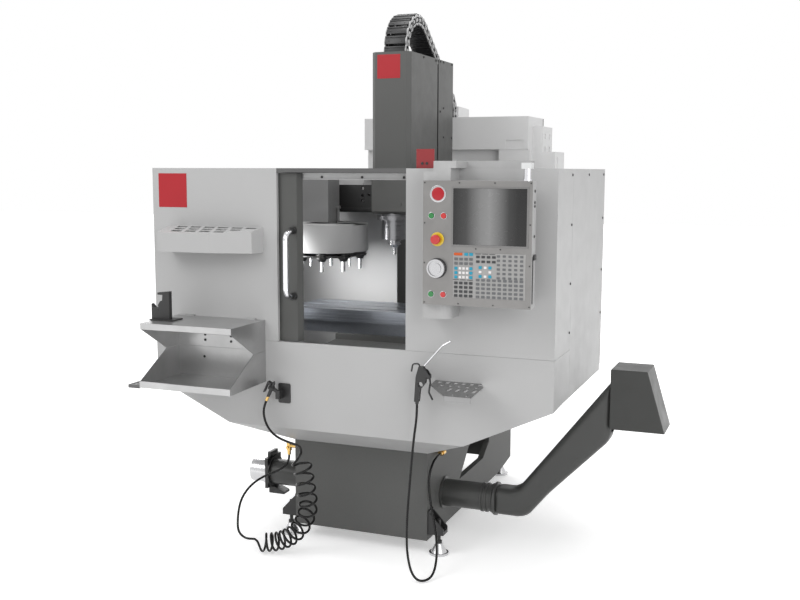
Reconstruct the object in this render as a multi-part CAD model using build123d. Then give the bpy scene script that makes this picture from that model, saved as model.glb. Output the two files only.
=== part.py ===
from build123d import *
import os
from math import atan2, cos, degrees, pi, radians, sin, sqrt, tan

# A small vertical machining centre. Millimetres. While it is built, X = 0 is the machine's middle,
# Y = 0 the face of its front sheets, with +Y to the back, and Z = 0 the floor.

# Overall sizes
ENCLOSURE_WIDTH = 1947
ENCLOSURE_DEPTH = 1015
ENCLOSURE_TOP = 1789
ROOF_DROP = 0
SHEET = 3
GAP = 0.3

# Front of the enclosure
SILL = 1000
DOOR_OPENING = 626
CORNER_Z = 780
CORNER_RISE = 32
FOLD_Z = 598
KNEE_INSET = 393
FRONT_WRAP = 290
SEAM_GAP = 1

# Base and chip pan
BASE_WIDTH = 682
BASE_FRONT = 210
BASE_TAIL = 250
BASE_TOP = 487
BASE_CLEAR = 69
BASE_WALL = 30
PAN_LIP = 90
FOOT_PAD = 92
FOOT_REACH = 45
FOOT_ARM = 39
FOOT_INSET = 60

# Slides and table
SPINDLE_BACK = 365
BED_TOP = 850
BED_WIDTH = 440
WAY_WIDTH = 60
WAY_HEIGHT = 30
SADDLE_TOP = 1000
TABLE_LENGTH = 1016
TABLE_WIDTH = 356
TABLE_TOP = 1095
TABLE_THICK = 60
SLOT_WIDTH = 16
SLOT_PITCH = 114

# Column and head
COLUMN_WIDTH = 360
COLUMN_SETBACK = 65
COLUMN_DEPTH = 320
NECK_DEPTH = 145
NECK_TOP = 2255
TOWER_WIDTH = 204
NECK_WIDTH = TOWER_WIDTH - 20
WAY_PLACE = NECK_WIDTH / 2 - 26
TOWER_TOP = 2351
TOWER_BASE = 1745
HEAD_FRONT = 60
HEAD_COVER_DEPTH = 395
NOSE_Z = 1440
HOUSING_TOP = 1565
HOUSING_RADIUS = 64
CARTRIDGE_RADIUS = 50
FLANGE_OUT = 27
SPINDLE_BORE = 40
TAPER_MOUTH = 22.2
TAPER_LENGTH = 68
HEAD_UP = 106
HEAD_DOWN = 250

# Tool changer
CHANGER_X = -377
CAROUSEL_RADIUS = 215
CAROUSEL_TOP = 1512
CAROUSEL_BOTTOM = 1371
POCKET_CIRCLE = 175
POCKETS = 10
SHUTTER_ANGLE = 27
BEAM_SETBACK = 100
CHANGER_STROKE = -CHANGER_X - POCKET_CIRCLE

# Control pendant
PENDANT_LEFT = 447
PENDANT_WIDTH = 460
PENDANT_TOP = 1740
PENDANT_HEIGHT = 510
PENDANT_FACE = -150
PENDANT_DEPTH = 75

# Chip auger
AUGER_Y = 450
AUGER_Z = 235
AUGER_RADIUS = 65
AUGER_LEFT = -640
AUGER_RIGHT = 600
SCREW_PITCH = 110
SCREW_SHAFT = 17
TUBE_WALL = 4
FLIGHT_GAP = 3

# Cabinet behind the column
CABINET_LEFT = -490
CABINET_RIGHT = 480
CABINET_DEPTH = 323
CABINET_TOP = 2075
CABINET_FLOOR = 700

# Hoses
HOSE = 11
COIL = 96

half = ENCLOSURE_WIDTH / 2
opening = DOOR_OPENING / 2
knee = half - KNEE_INSET
base_half = BASE_WIDTH / 2
spindle_y = ENCLOSURE_DEPTH - SPINDLE_BACK
column_front = ENCLOSURE_DEPTH + COLUMN_SETBACK
cabinet_front = column_front + COLUMN_DEPTH
cabinet_rear = cabinet_front + CABINET_DEPTH
base_rear = column_front + COLUMN_DEPTH + BASE_TAIL


def block(x0, x1, y0, y1, z0, z1):
    """A box between two corners."""
    return Pos((x0 + x1) / 2, (y0 + y1) / 2, (z0 + z1) / 2) * Box(x1 - x0, y1 - y0, z1 - z0)


def prism_x(points, x0, x1):
    """A (y, z) outline drawn out along X."""
    face = make_face(Polyline(*[(x0, y, z) for y, z in points], close=True))
    return extrude(face, amount=x1 - x0, dir=(1, 0, 0))


def prism_y(points, y0, y1):
    """An (x, z) outline drawn out along Y."""
    face = make_face(Polyline(*[(x, y0, z) for x, z in points], close=True))
    return extrude(face, amount=y1 - y0, dir=(0, 1, 0))


def prism_z(points, z0, z1):
    """An (x, y) outline drawn out along Z."""
    face = make_face(Polyline(*[(x, y, z0) for x, y in points], close=True))
    return extrude(face, amount=z1 - z0, dir=(0, 0, 1))


def rod_x(x0, x1, y, z, radius):
    return Pos((x0 + x1) / 2, y, z) * Rot(0, 90, 0) * Cylinder(radius, x1 - x0)


def rod_y(x, y0, y1, z, radius):
    return Pos(x, (y0 + y1) / 2, z) * Rot(90, 0, 0) * Cylinder(radius, y1 - y0)


def rod_z(x, y, z0, z1, radius):
    return Pos(x, y, (z0 + z1) / 2) * Cylinder(radius, z1 - z0)


def cone_z(x, y, z0, z1, r0, r1):
    return Pos(x, y, (z0 + z1) / 2) * Cone(r0, r1, z1 - z0)


def roof_cut(y):
    """Height of the enclosure's sloping top edge at a given depth."""
    return ENCLOSURE_TOP - ROOF_DROP * y / ENCLOSURE_DEPTH


def foot_cut(y):
    """Height of the side sheet's lower edge at a given depth."""
    return CORNER_Z + CORNER_RISE * y / ENCLOSURE_DEPTH


def above_roof():
    back = ENCLOSURE_DEPTH + 20
    points = [(-200, roof_cut(-200)), (back, roof_cut(back)), (back, 3200), (-200, 3200)]
    return prism_x(points, -half - 50, half + 50)


# Base, column and chip pan

def base_casting():
    rear_lift = 30
    outline = [(BASE_FRONT, BASE_CLEAR), (base_rear - 250, BASE_CLEAR), (base_rear, BASE_CLEAR + rear_lift),
               (base_rear, BASE_TOP), (BASE_FRONT, BASE_TOP)]
    body = prism_x(outline, -base_half, base_half)
    inside = base_half - BASE_WALL
    body -= block(-inside, inside, BASE_FRONT + BASE_WALL, base_rear - BASE_WALL, 0, BASE_TOP - BASE_WALL)
    # The open V on each side, seen past the auger tube
    hollow = [(835, 365), (1200, 420), (1200, 300), (1090, 232), (690, 232)]
    body -= prism_x(hollow, -base_half - 1, base_half + 1)
    body += block(-10, 10, AUGER_Y + 110, base_rear - BASE_WALL, BASE_CLEAR + 30, BASE_TOP - BASE_WALL)
    for x, y in foot_places()[2:]:
        side = 1 if x > 0 else -1
        x0, x1 = sorted((side * inside, x - side * 30))
        body += block(x0, x1, y - 40, base_rear - BASE_WALL, BASE_CLEAR + 35, BASE_CLEAR + 110)
    # The auger's holes, and the slot where chips fall to it
    body -= rod_x(-base_half - 1, base_half + 1, AUGER_Y, AUGER_Z, AUGER_RADIUS + GAP)
    body -= block(-chip_slot_half(), chip_slot_half(), AUGER_Y - 60, AUGER_Y + 60, BASE_TOP - 40, BASE_TOP + 1)
    # Bed under the saddle, cantilevered over the auger, with two flat ways
    bed_front = spindle_y - TABLE_WIDTH
    bed_back = ENCLOSURE_DEPTH - SHEET - 8
    bed_half = BED_WIDTH / 2
    foot = AUGER_Y + 110
    bed_line = [(bed_front, BED_TOP - 210), (foot, BASE_TOP), (bed_back, BASE_TOP), (bed_back, BED_TOP),
                (bed_front, BED_TOP)]
    body += prism_x(bed_line, -bed_half, bed_half)
    body -= block(-bed_half + 60, bed_half - 60, bed_front + 40, bed_back - 40, BED_TOP - 60, BED_TOP + 1)
    for side in (-1, 1):
        middle = side * (bed_half - WAY_WIDTH / 2)
        body += block(middle - WAY_WIDTH / 2, middle + WAY_WIDTH / 2, bed_front, bed_back,
                      BED_TOP, BED_TOP + WAY_HEIGHT)
    return body


def chip_slot_half():
    return base_half - BASE_WALL - 20


def foot_places():
    """Centres of the four levelling feet."""
    rear = base_rear - FOOT_INSET
    front = BASE_FRONT + FOOT_INSET - 20
    under = base_half - FOOT_PAD / 2
    return [(-base_half - FOOT_REACH, front), (base_half + FOOT_REACH, front), (-under, rear), (under, rear)]


def levelling_feet():
    """Cone pads on studs: the front ones in gusseted brackets, the rear ones under the base."""
    feet = []
    arm_z = BASE_CLEAR + FOOT_ARM
    for x, y in foot_places()[2:]:
        pad = rod_z(x, y, 0, 12, FOOT_PAD / 2) + cone_z(x, y, 12, 52, FOOT_PAD / 2 - 8, 17)
        feet.append(pad + rod_z(x, y, 52, BASE_CLEAR + 35, 9))
    for x, y in foot_places()[:2]:
        side = 1 if x > 0 else -1
        wall = side * base_half
        pad = rod_z(x, y, 0, 12, FOOT_PAD / 2) + cone_z(x, y, 12, 52, FOOT_PAD / 2 - 8, 17)
        foot = pad + rod_z(x, y, 52, arm_z + 60, 9)
        foot += rod_z(x, y, 52, 66, 15)
        foot += rod_z(x, y, arm_z + 8, arm_z + 22, 15)
        reach = wall + side * (FOOT_REACH + 32)
        arm = block(min(wall, reach), max(wall, reach), y - 32, y + 32, arm_z - 8, arm_z + 8)
        for edge in (y - 32, y + 24):
            gusset = [(wall, arm_z + 8), (reach, arm_z + 8), (reach, arm_z + 22), (wall, arm_z + 103)]
            arm += prism_y(gusset, edge, edge + 8)
        arm += block(min(wall, wall + side * 8), max(wall, wall + side * 8), y - 32, y + 32,
                     arm_z + 8, arm_z + 103)
        feet.append(foot + arm)
    return Compound(feet)


def column_casting():
    """Tapered box column with a lighter neck that carries the upper end of the ways."""
    y0 = column_front
    y1 = y0 + COLUMN_DEPTH
    shoulder = ENCLOSURE_TOP - 90
    wide = COLUMN_WIDTH / 2
    foot = Pos(0, (y0 + y1) / 2, BASE_TOP) * Rectangle(2 * wide, COLUMN_DEPTH)
    top = Pos(0, (y0 + y1) / 2, shoulder) * Rectangle(2 * wide - 60, COLUMN_DEPTH)
    body = loft([foot, top])
    neck = NECK_WIDTH / 2
    body += block(-neck, neck, y0, y0 + NECK_DEPTH, shoulder, NECK_TOP)
    # Core of the casting, open below, and a handhole in each side
    body -= block(-wide + 60, wide - 60, y0 + 45, y1 - 40, BASE_TOP - 1, shoulder - 60)
    for height in (BASE_TOP + 300, BASE_TOP + 700):
        body -= rod_x(-wide - 1, wide + 1, y0 + 190, height, 60)
    # Groove for the ballscrew between the two ways
    body -= block(-36, 36, y0 - 1, y0 + 34, BED_TOP + 250, NECK_TOP - 40)
    for side in (-1, 1):
        x = side * WAY_PLACE
        body += block(x - 13, x + 13, y0 - 22, y0, BED_TOP + 330, NECK_TOP - 20)
    return body


def chip_pan():
    """Hopper of folded sheet from the side sheets down to the base's top."""
    wide = half - SHEET
    line = [(-wide, CORNER_Z + PAN_LIP), (-wide, CORNER_Z + 2), (-base_half, BASE_TOP),
            (base_half, BASE_TOP), (wide, CORNER_Z + 2), (wide, CORNER_Z + PAN_LIP)]
    body = prism_y(line, SHEET, ENCLOSURE_DEPTH - SHEET)
    slope = (BASE_TOP - FOLD_Z) / BASE_FRONT
    nose = [(-20, FOLD_Z - 20 * slope), (BASE_FRONT, BASE_TOP), (BASE_FRONT, BASE_TOP - 9), (-20, BASE_TOP - 9)]
    body -= prism_x(nose, -half, half)
    rim = body.faces().sort_by(Axis.Z)[-1]
    body = offset(body, amount=-SHEET, openings=rim)
    bed_half = BED_WIDTH / 2 + GAP
    body -= block(-bed_half, bed_half, AUGER_Y + 60, ENCLOSURE_DEPTH - SHEET - 7, BASE_TOP - 1, BASE_TOP + 9)
    body -= block(-chip_slot_half(), chip_slot_half(), AUGER_Y - 60, AUGER_Y + 60, BASE_TOP - 1, BASE_TOP + 9)
    return body


# Enclosure sheets

def front_panel(side):
    """Folded sheet beside the door: front face, return flange at the door, wrap along the side."""
    a = side * opening
    b = side * half
    points = [(b, 0), (a, 0), (a, 18), (a + side * SHEET, 18), (a + side * SHEET, SHEET),
              (b - side * SHEET, SHEET), (b - side * SHEET, FRONT_WRAP), (b, FRONT_WRAP)]
    body = prism_z(points, SILL + SEAM_GAP, ENCLOSURE_TOP)
    x0, x1 = sorted((a + side * SHEET, b - side * SHEET))
    body += block(x0, x1, SHEET, 18, ENCLOSURE_TOP - 8, ENCLOSURE_TOP - 5)
    return body - above_roof()


def front_apron():
    """Lower front sheet with its two slanted corners, sill flange and side wraps."""
    line = [(-half, SILL), (-half, CORNER_Z), (-knee, FOLD_Z), (knee, FOLD_Z), (half, CORNER_Z), (half, SILL)]
    body = prism_y(line, 0, SHEET)
    for side in (-1, 1):
        x0, x1 = sorted((side * half, side * (half - SHEET)))
        wrap = [(SHEET, foot_cut(SHEET)), (FRONT_WRAP, foot_cut(FRONT_WRAP)), (FRONT_WRAP, SILL), (SHEET, SILL)]
        body += prism_x(wrap, x0, x1)
    body += block(-opening, opening, SHEET, 17, SILL - SHEET, SILL)
    return body


def side_panels():
    sheets = []
    for side in (-1, 1):
        x0, x1 = sorted((side * half, side * (half - SHEET)))
        y0 = FRONT_WRAP + SEAM_GAP
        y1 = ENCLOSURE_DEPTH - SHEET
        line = [(y0, foot_cut(y0)), (y1, foot_cut(y1)), (y1, roof_cut(y1)), (y0, roof_cut(y0))]
        sheet = prism_x(line, x0, x1)
        flange0, flange1 = sorted((side * (half - SHEET), side * (half - 22)))
        lip = [(y0, roof_cut(y0) - 8), (y1, roof_cut(y1) - 8), (y1, roof_cut(y1) - 5), (y0, roof_cut(y0) - 5)]
        sheets.append(sheet + prism_x(lip, flange0, flange1))
    return Compound(sheets)


def back_panel():
    """Rear wall with the slot through which the head reaches the column."""
    y0 = ENCLOSURE_DEPTH - SHEET
    low = CORNER_Z + PAN_LIP - 20
    body = block(-half, half, y0, y0 + SHEET, low, roof_cut(y0))
    slot_half = TOWER_WIDTH / 2 + 30
    return body - block(-slot_half, slot_half, y0 - 1, y0 + SHEET + 1, SADDLE_TOP + 60, ENCLOSURE_TOP + 10)


def door_header():
    """Fascia over the doorway with the light top rail behind the door."""
    body = block(-opening, opening, 0, SHEET, ENCLOSURE_TOP - 19, ENCLOSURE_TOP)
    body += block(-opening, opening, SHEET, 62, ENCLOSURE_TOP - 8, ENCLOSURE_TOP - 5)
    rail_left = -half + SHEET + 20
    rail_right = opening + 25
    body += block(rail_left, rail_right, RAIL_WEB, RAIL_WEB + SHEET, RAIL_LOW, ENCLOSURE_TOP - 8)
    body += block(rail_left, rail_right, RAIL_WEB - 6, RAIL_WEB, RAIL_LOW, RAIL_LOW + SHEET)
    body += block(-opening, opening, 58, 62, ENCLOSURE_TOP - 12, ENCLOSURE_TOP - 8)
    return body - above_roof()


# Sliding door

DOOR_WIDTH = 660
DOOR_THICK = 26
DOOR_BACK = 48
DOOR_EDGE = -205
DOOR_BEVEL = 18
STILE_RIGHT = 125
STILE_LEFT = 80
RAIL_WEB = 56
RAIL_LOW = ENCLOSURE_TOP - 50
door_bottom = SILL + 4
door_top = ENCLOSURE_TOP - 22
HANDLE_X = -240
HANDLE_LOW = 1211
HANDLE_HIGH = 1510


def door_window_box():
    left = DOOR_EDGE - DOOR_WIDTH + STILE_LEFT
    right = DOOR_EDGE - STILE_RIGHT
    return left, right, door_bottom + 90, door_top - 70


def door_frame():
    """Pressed frame: front skin with folded edges, stiffened around the window, on two hangers."""
    x0 = DOOR_EDGE - DOOR_WIDTH
    y0 = DOOR_BACK - DOOR_THICK
    bevel = DOOR_EDGE - DOOR_BEVEL
    body = prism_z([(x0, y0), (bevel, y0), (DOOR_EDGE, DOOR_BACK), (x0, DOOR_BACK)], door_bottom, door_top)
    inner = [(x0 + SHEET, y0 + SHEET), (bevel - 1, y0 + SHEET), (DOOR_EDGE - 3, DOOR_BACK + 1), (x0 + SHEET, DOOR_BACK + 1)]
    body -= prism_z(inner, door_bottom + SHEET, door_top - SHEET)
    left, right, low, high = door_window_box()
    rim = 16
    body += block(left - rim, right + rim, y0 + SHEET, DOOR_BACK, low - rim, high + rim)
    body -= block(left, right, y0 - 1, DOOR_BACK + 1, low, high)
    groove = 8
    body -= block(left - groove, right + groove, y0 + 10, y0 + 16, low - groove, high + groove)
    # Runners that hang the door on the lower lip of the top rail
    for x in (x0 + 90, DOOR_EDGE - 90):
        body += block(x - 28, x + 28, y0 + SHEET, RAIL_WEB - GAP, RAIL_LOW + SHEET + GAP, door_top - SHEET)
    return body


def door_window():
    left, right, low, high = door_window_box()
    y0 = DOOR_BACK - DOOR_THICK
    return block(left - 7, right + 7, y0 + 10, y0 + 16, low - 7, high + 7)


def door_handle():
    """Chrome bow with a foot and a dark collar at each end."""
    face = DOOR_BACK - DOOR_THICK
    reach = 78
    bow = FilletPolyline((HANDLE_X, face - 18, HANDLE_LOW), (HANDLE_X, face - reach, HANDLE_LOW + 14),
                         (HANDLE_X, face - reach, HANDLE_HIGH - 14), (HANDLE_X, face - 18, HANDLE_HIGH),
                         radius=34)
    start = Plane(origin=bow @ 0, z_dir=bow % 0)
    body = sweep(start * Circle(13), path=bow)
    for z in (HANDLE_LOW, HANDLE_HIGH):
        body += rod_y(HANDLE_X, face - 22, face, z, 17)
    return body


# Accessories on the front

RACK_LEFT = -881
RACK_LOW = 1406
RACK_BACK = 1521
RACK_FALL = 0.225
RACK_DEPTH = 120
RACK_HOLE = (56, 24)
rack_rows = [(-790, 75, 4, -84), (-795, 74, 5, -50), (-803, 73.4, 6, -16)]


def rack_top(y):
    """Height of the rack's sloping top at a given y."""
    return RACK_BACK + RACK_FALL * y


def rack_holes():
    """Centres of the rack's holes."""
    return [(first + pitch * index, y) for first, pitch, count, y in rack_rows for index in range(count)]


def rack_space(inset):
    """The rack's outline drawn up to its sloping top, or the room inside its sheets."""
    left = RACK_LEFT + inset
    right = RACK_LEFT + 496 - inset
    front = inset - RACK_DEPTH
    points = [(left, -inset / 300), (left + 7, front), (RACK_LEFT + 285 - inset / 4, front),
              (RACK_LEFT + 475 - inset, front + 52), (right, -inset / 300)]
    low = RACK_LOW - inset
    slope = [(-200, rack_top(-200) - inset), (50, rack_top(50) - inset), (50, 1700), (-200, 1700)]
    return prism_z(points, low, RACK_BACK + 5) - prism_x(slope, RACK_LEFT - 10, RACK_LEFT + 510)


def collet_rack():
    """Folded rack with a sloping top and three rows of holes, its right part turned back."""
    body = rack_space(0) - rack_space(SHEET)
    across, deep = RACK_HOLE
    for x, y in rack_holes():
        body -= Pos(x, y, rack_top(y)) * Box(across, deep, 30)
    return body


TRAY_LEFT = 125
TRAY_WIDTH = 469
TRAY_REACH = 305
TRAY_TOP = 1097
TRAY_WAIST = 954
TRAY_LIP = 27
TRAY_FLOOR = 809


def folded_tray(outer, open_line, width_left):
    """Sheet tray: a side outline hollowed between its cheeks and opened along a line."""
    body = prism_x(outer, width_left, width_left + TRAY_WIDTH)
    body -= prism_x(open_line, width_left + SHEET, width_left + TRAY_WIDTH - SHEET)
    return body


def tray_shelf():
    """Upper shelf: flat top with rolled lip, slanted cheeks, and a pocket open to the front."""
    left = -half + TRAY_LEFT
    waist = -110
    outer = [(0, TRAY_TOP), (-TRAY_REACH, TRAY_TOP), (-TRAY_REACH, TRAY_TOP - TRAY_LIP), (waist, TRAY_WAIST),
             (0, TRAY_WAIST)]
    inner = [(-SHEET, TRAY_TOP - SHEET), (-TRAY_REACH + SHEET, TRAY_TOP - SHEET),
             (-TRAY_REACH + SHEET, TRAY_TOP - 60), (waist, TRAY_WAIST - 5), (-SHEET, TRAY_WAIST - 5)]
    body = folded_tray(outer, inner, left)
    for x in (left + 70, left + TRAY_WIDTH - 70):
        body += block(x - 24, x + 24, -12, 0, TRAY_TOP, TRAY_TOP + 5)
    return body


def tray_bin():
    """Lower bin: sloping floor with a front lip, slanted cheeks and a back sheet."""
    left = -half + TRAY_LEFT
    waist = -110
    top = TRAY_WAIST - SEAM_GAP
    lip = TRAY_FLOOR + 24
    reach = -TRAY_REACH - 15
    outer = [(0, top), (waist, top), (reach, lip), (reach, lip - 29), (0, TRAY_FLOOR)]
    inner = [(-SHEET, top + 1), (waist, top + 1), (reach + SHEET, lip + 4), (reach + SHEET, lip - 29 + SHEET),
             (-SHEET, TRAY_FLOOR + SHEET)]
    body = folded_tray(outer, inner, left)
    # Small perforated shelf on the bin's left side
    shelf_z = TRAY_FLOOR + 7
    wing = block(left - 62, left, reach, reach + 120, shelf_z - 16, shelf_z)
    wing -= block(left - 59, left, reach + SHEET, reach + 117, shelf_z - 17, shelf_z - SHEET)
    for row in range(2):
        for column in range(4):
            wing -= rod_z(left - 44 + row * 26, reach + 18 + column * 28, shelf_z - 5, shelf_z + 1, 8)
    return body + wing


def holder_stand():
    """Upright stand that grips a tool holder by its flange while the collet is tightened."""
    left = -half + TRAY_LEFT
    y0 = -200
    z0 = TRAY_TOP
    outline = [(0, 0), (96, 0), (96, 135), (34, 128), (34, 118), (60, 118), (58, 92)]
    outline += [(60 - 26 * sin(radians(a)), 66 + 26 * cos(radians(a))) for a in (30, 80, 130)]
    outline += [(14, 60), (0, 76)]
    body = prism_y([(left - 10 + x, z0 + z) for x, z in outline], y0, y0 + 22)
    body += block(left - 10, left + 110, y0 - 20, y0 + 70, z0, z0 + 6)
    return body


SHELF_Z = 880


def tool_shelf():
    """Perforated shelf for hand tools: folded lip, tapered sides, slots in front and holes behind."""
    left = 453
    right = 661
    reach = 287
    front = [(left, 0), (right, 0), (right + 27, -66), (right + 42, -reach), (left + 137, -reach), (left + 12, -99)]
    body = prism_z(front, SHELF_Z - 3, SHELF_Z)
    body += block(left + 137, right + 42, -reach, -reach + 3, SHELF_Z - 22, SHELF_Z - 3)
    body += block(left, right, -3, 0, SHELF_Z - 30, SHELF_Z - 3)
    for column in range(6):
        x = left + 30 + column * 36
        body -= Pos(x, -34, SHELF_Z) * Box(18, 24, 20)
    for column in range(5):
        body -= rod_z(left + 62 + column * 38, -95, SHELF_Z - 10, SHELF_Z + 10, 8)
    for column in range(4):
        body -= Pos(left + 118 + column * 36, -165, SHELF_Z) * Box(14, 50, 20)
    for x in (left + 168, right + 18):
        body -= rod_z(x, -reach + 32, SHELF_Z - 10, SHELF_Z + 10, 9)
    return body


NOZZLE_LEAN = 25
NOZZLE_RADIUS = 8
NOZZLE_PLACE = (-326, -40, 795)
NOZZLE_LENGTH = 72


def in_holder(shape):
    """Leans a shape that is drawn upright about the nozzle's resting flange."""
    return Pos(*NOZZLE_PLACE) * Rot(0, NOZZLE_LEAN, 0) * shape


def nozzle_point(down):
    """A point on the nozzle's axis, some way below its resting flange."""
    x, y, z = NOZZLE_PLACE
    return x - down * sin(radians(NOZZLE_LEAN)), y, z - down * cos(radians(NOZZLE_LEAN))


def nozzle_holder():
    """Back plate with a leaning ring that the blow nozzle hangs in."""
    plate = block(-314, -252, -4, 0, 716, 808)
    plate = fillet(plate.edges().filter_by(Axis.Y), 8)
    ring = in_holder(rod_z(0, 0, -12, 0, 2 * NOZZLE_RADIUS) + block(8, 44, -7, 7, -12, 0))
    arm = block(-306, -285, -47, 0, 742, 780)
    arm = arm - in_holder(rod_z(0, 0, -60, 40, NOZZLE_RADIUS + 14))
    return plate + ring + arm - in_holder(rod_z(0, 0, -20, 10, NOZZLE_RADIUS + GAP))


def blow_nozzle():
    """Slim nozzle with a flange that rests on its holder's ring, and a hose tail below."""
    body = rod_z(0, 0, -52, GAP, NOZZLE_RADIUS) + rod_z(0, 0, GAP, 5, NOZZLE_RADIUS + 4)
    body += rod_z(0, 0, 5, 18, NOZZLE_RADIUS) + cone_z(0, 0, 18, 30, NOZZLE_RADIUS, 3)
    body += rod_z(0, 0, -NOZZLE_LENGTH, -52, NOZZLE_RADIUS - 1)
    body += block(-13, -3, -5, 5, 5, 18)
    return in_holder(body - rod_y(-9, -6, 6, 12, 2 + PIN_GAP))


def nozzle_lever():
    """Thumb lever of the blow nozzle, on its pin."""
    lever = rod_y(-9, -11, 11, 12, 2)
    for side in (-1, 1):
        y0, y1 = sorted((side * 6.5, side * 11))
        lever += block(-24, -6, y0, y1, 6, 17)
    lever += block(-28, -24, -11, 11, -40, 17)
    return in_holder(lever)


GUN_X = 408
GUN_Y = -70
GUN_FOOT = 786
GUN_PIN = 932
PIN_GAP = 0.06


def air_gun():
    """Pistol-shaped air gun: grip, head with hanging hooks, and a long bent nozzle."""
    x = GUN_X
    grip = [(x - 24, 796), (x - 4, 796), (x + 2, 850), (x + 26, 880), (x + 32, 925), (x + 16, 950), (x - 4, 950),
            (x - 17, 905)]
    body = prism_y(grip, GUN_Y - 11, GUN_Y + 11)
    body -= rod_y(x + 4, GUN_Y - 12, GUN_Y + 12, 872, 12)
    body += rod_z(x - 14, GUN_Y, GUN_FOOT, 802, 8)
    body -= rod_y(x + 22, GUN_Y - 12, GUN_Y + 12, GUN_PIN, 3 + PIN_GAP)
    hook = FilletPolyline((x, GUN_Y, 935), (x - 4, GUN_Y, 962), (x - 34, GUN_Y, 958), (x - 40, GUN_Y, 925), radius=12)
    body += sweep(Plane(origin=hook @ 0, z_dir=hook % 0) * Circle(3.5), path=hook)
    spout = FilletPolyline((x + 10, GUN_Y, 944), (x + 98, GUN_Y, 1044), (x + 137, GUN_Y, 1067), radius=24)
    body += sweep(Plane(origin=spout @ 0, z_dir=spout % 0) * Circle(4.5), path=spout)
    # Hanger peg from the wall behind the gun
    return body + rod_y(x + 8, GUN_Y + 11, -GAP, 915, 6)


def air_gun_lever():
    """Trigger of the air gun, on a pin through its head."""
    x = GUN_X
    pin_z = GUN_PIN
    lever = rod_y(x + 22, GUN_Y - 14, GUN_Y + 14, pin_z, 3)
    cheek = [(x + 15, pin_z + 6), (x + 28, pin_z + 6), (x + 46, 914), (x + 46, 900), (x + 38, 900), (x + 15, pin_z - 7)]
    for y0, y1 in ((GUN_Y - 14, GUN_Y - 11 - GAP), (GUN_Y + 11 + GAP, GUN_Y + 14)):
        lever += prism_y(cheek, y0, y1)
    lever += block(x + 39, x + 46, GUN_Y - 14, GUN_Y + 14, 900, 914)
    path = FilletPolyline((x + 43, GUN_Y, 906), (x + 46, GUN_Y, 880), (x + 40, GUN_Y, 840), (x + 57, GUN_Y, 808),
                          radius=16)
    lever += sweep(Plane(origin=path @ 0, z_dir=path % 0) * Circle(4), path=path)
    return lever


# Chip auger

def auger_tube():
    """Tube through the base, open on top inside it, with a flange on each side wall."""
    tube = rod_x(AUGER_LEFT + 60, AUGER_RIGHT, AUGER_Y, AUGER_Z, AUGER_RADIUS)
    for side in (-1, 1):
        x0, x1 = sorted((side * base_half, side * (base_half + 8)))
        tube += rod_x(x0, x1, AUGER_Y, AUGER_Z, AUGER_RADIUS + 12)
    for x in (AUGER_RIGHT - 62, AUGER_RIGHT - 40, AUGER_RIGHT - 12):
        tube += rod_x(x, x + 8, AUGER_Y, AUGER_Z, AUGER_RADIUS + 5)
    tube -= rod_x(AUGER_LEFT, AUGER_RIGHT + 1, AUGER_Y, AUGER_Z, AUGER_RADIUS - TUBE_WALL)
    top = chip_slot_half()
    tube -= block(-top, top, AUGER_Y - AUGER_RADIUS, AUGER_Y + AUGER_RADIUS, AUGER_Z + 10, AUGER_Z + 80)
    return tube


def auger_screw():
    """Shaft with a helical flight."""
    start = AUGER_LEFT + 60 + GAP
    length = AUGER_RIGHT - 20 - start
    turns = int((length - 20) / SCREW_PITCH)
    outer = AUGER_RADIUS - TUBE_WALL - FLIGHT_GAP
    inner = SCREW_SHAFT - SHEET
    path = Helix(pitch=SCREW_PITCH, height=turns * SCREW_PITCH, radius=(outer + inner) / 2)
    section = Plane(origin=path @ 0, x_dir=(1, 0, 0), z_dir=path % 0) * Rectangle(outer - inner, 5)
    flight = sweep(section, path=path, is_frenet=True)
    screw = Pos(0, 0, 12) * flight + Pos(0, 0, length / 2) * Cylinder(SCREW_SHAFT, length)
    return Pos(start, AUGER_Y, AUGER_Z) * Rot(0, 90, 0) * screw


def auger_motor():
    """Gear housing flanged to the tube's left end, and the round motor on it."""
    x = AUGER_LEFT + 60
    body = rod_x(x - 8, x, AUGER_Y, AUGER_Z, AUGER_RADIUS + 18)
    body += block(x - 24, x - 8, AUGER_Y - 72, AUGER_Y + 72, AUGER_Z - 72, AUGER_Z + 84)
    body += block(x - 24, x - 8, AUGER_Y - 40, AUGER_Y + 40, AUGER_Z + 84, AUGER_Z + 110)
    body += rod_x(x - 50, x - 24, AUGER_Y, AUGER_Z, 66) + rod_x(x - 120, x - 50, AUGER_Y, AUGER_Z, 60)
    foot = [(x - 24, AUGER_Z - 70), (x - 4, AUGER_Z - 70), (x + 62, AUGER_Z - 96), (x + 62, AUGER_Z - 108),
            (x - 24, AUGER_Z - 108)]
    return body + prism_y(foot, AUGER_Y - 30, AUGER_Y + 30)


CHUTE_HALF = AUGER_RADIUS
HOOD_LEFT = half + 167.5
HOOD_FRONT = 370
HOOD_REAR = 570


def chute_line():
    """Side outline of the chute: elbow, then a trough that widens up to the hood."""
    low = AUGER_Z - AUGER_RADIUS + SHEET
    high = AUGER_Z + AUGER_RADIUS - 1
    return [(AUGER_RIGHT, low), (AUGER_RIGHT + 160, low), (AUGER_RIGHT + 262, AUGER_Z + 62), (HOOD_LEFT + 30, 612),
            (HOOD_LEFT + 30, 890), (AUGER_RIGHT + 112, high), (AUGER_RIGHT, high)]


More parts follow.
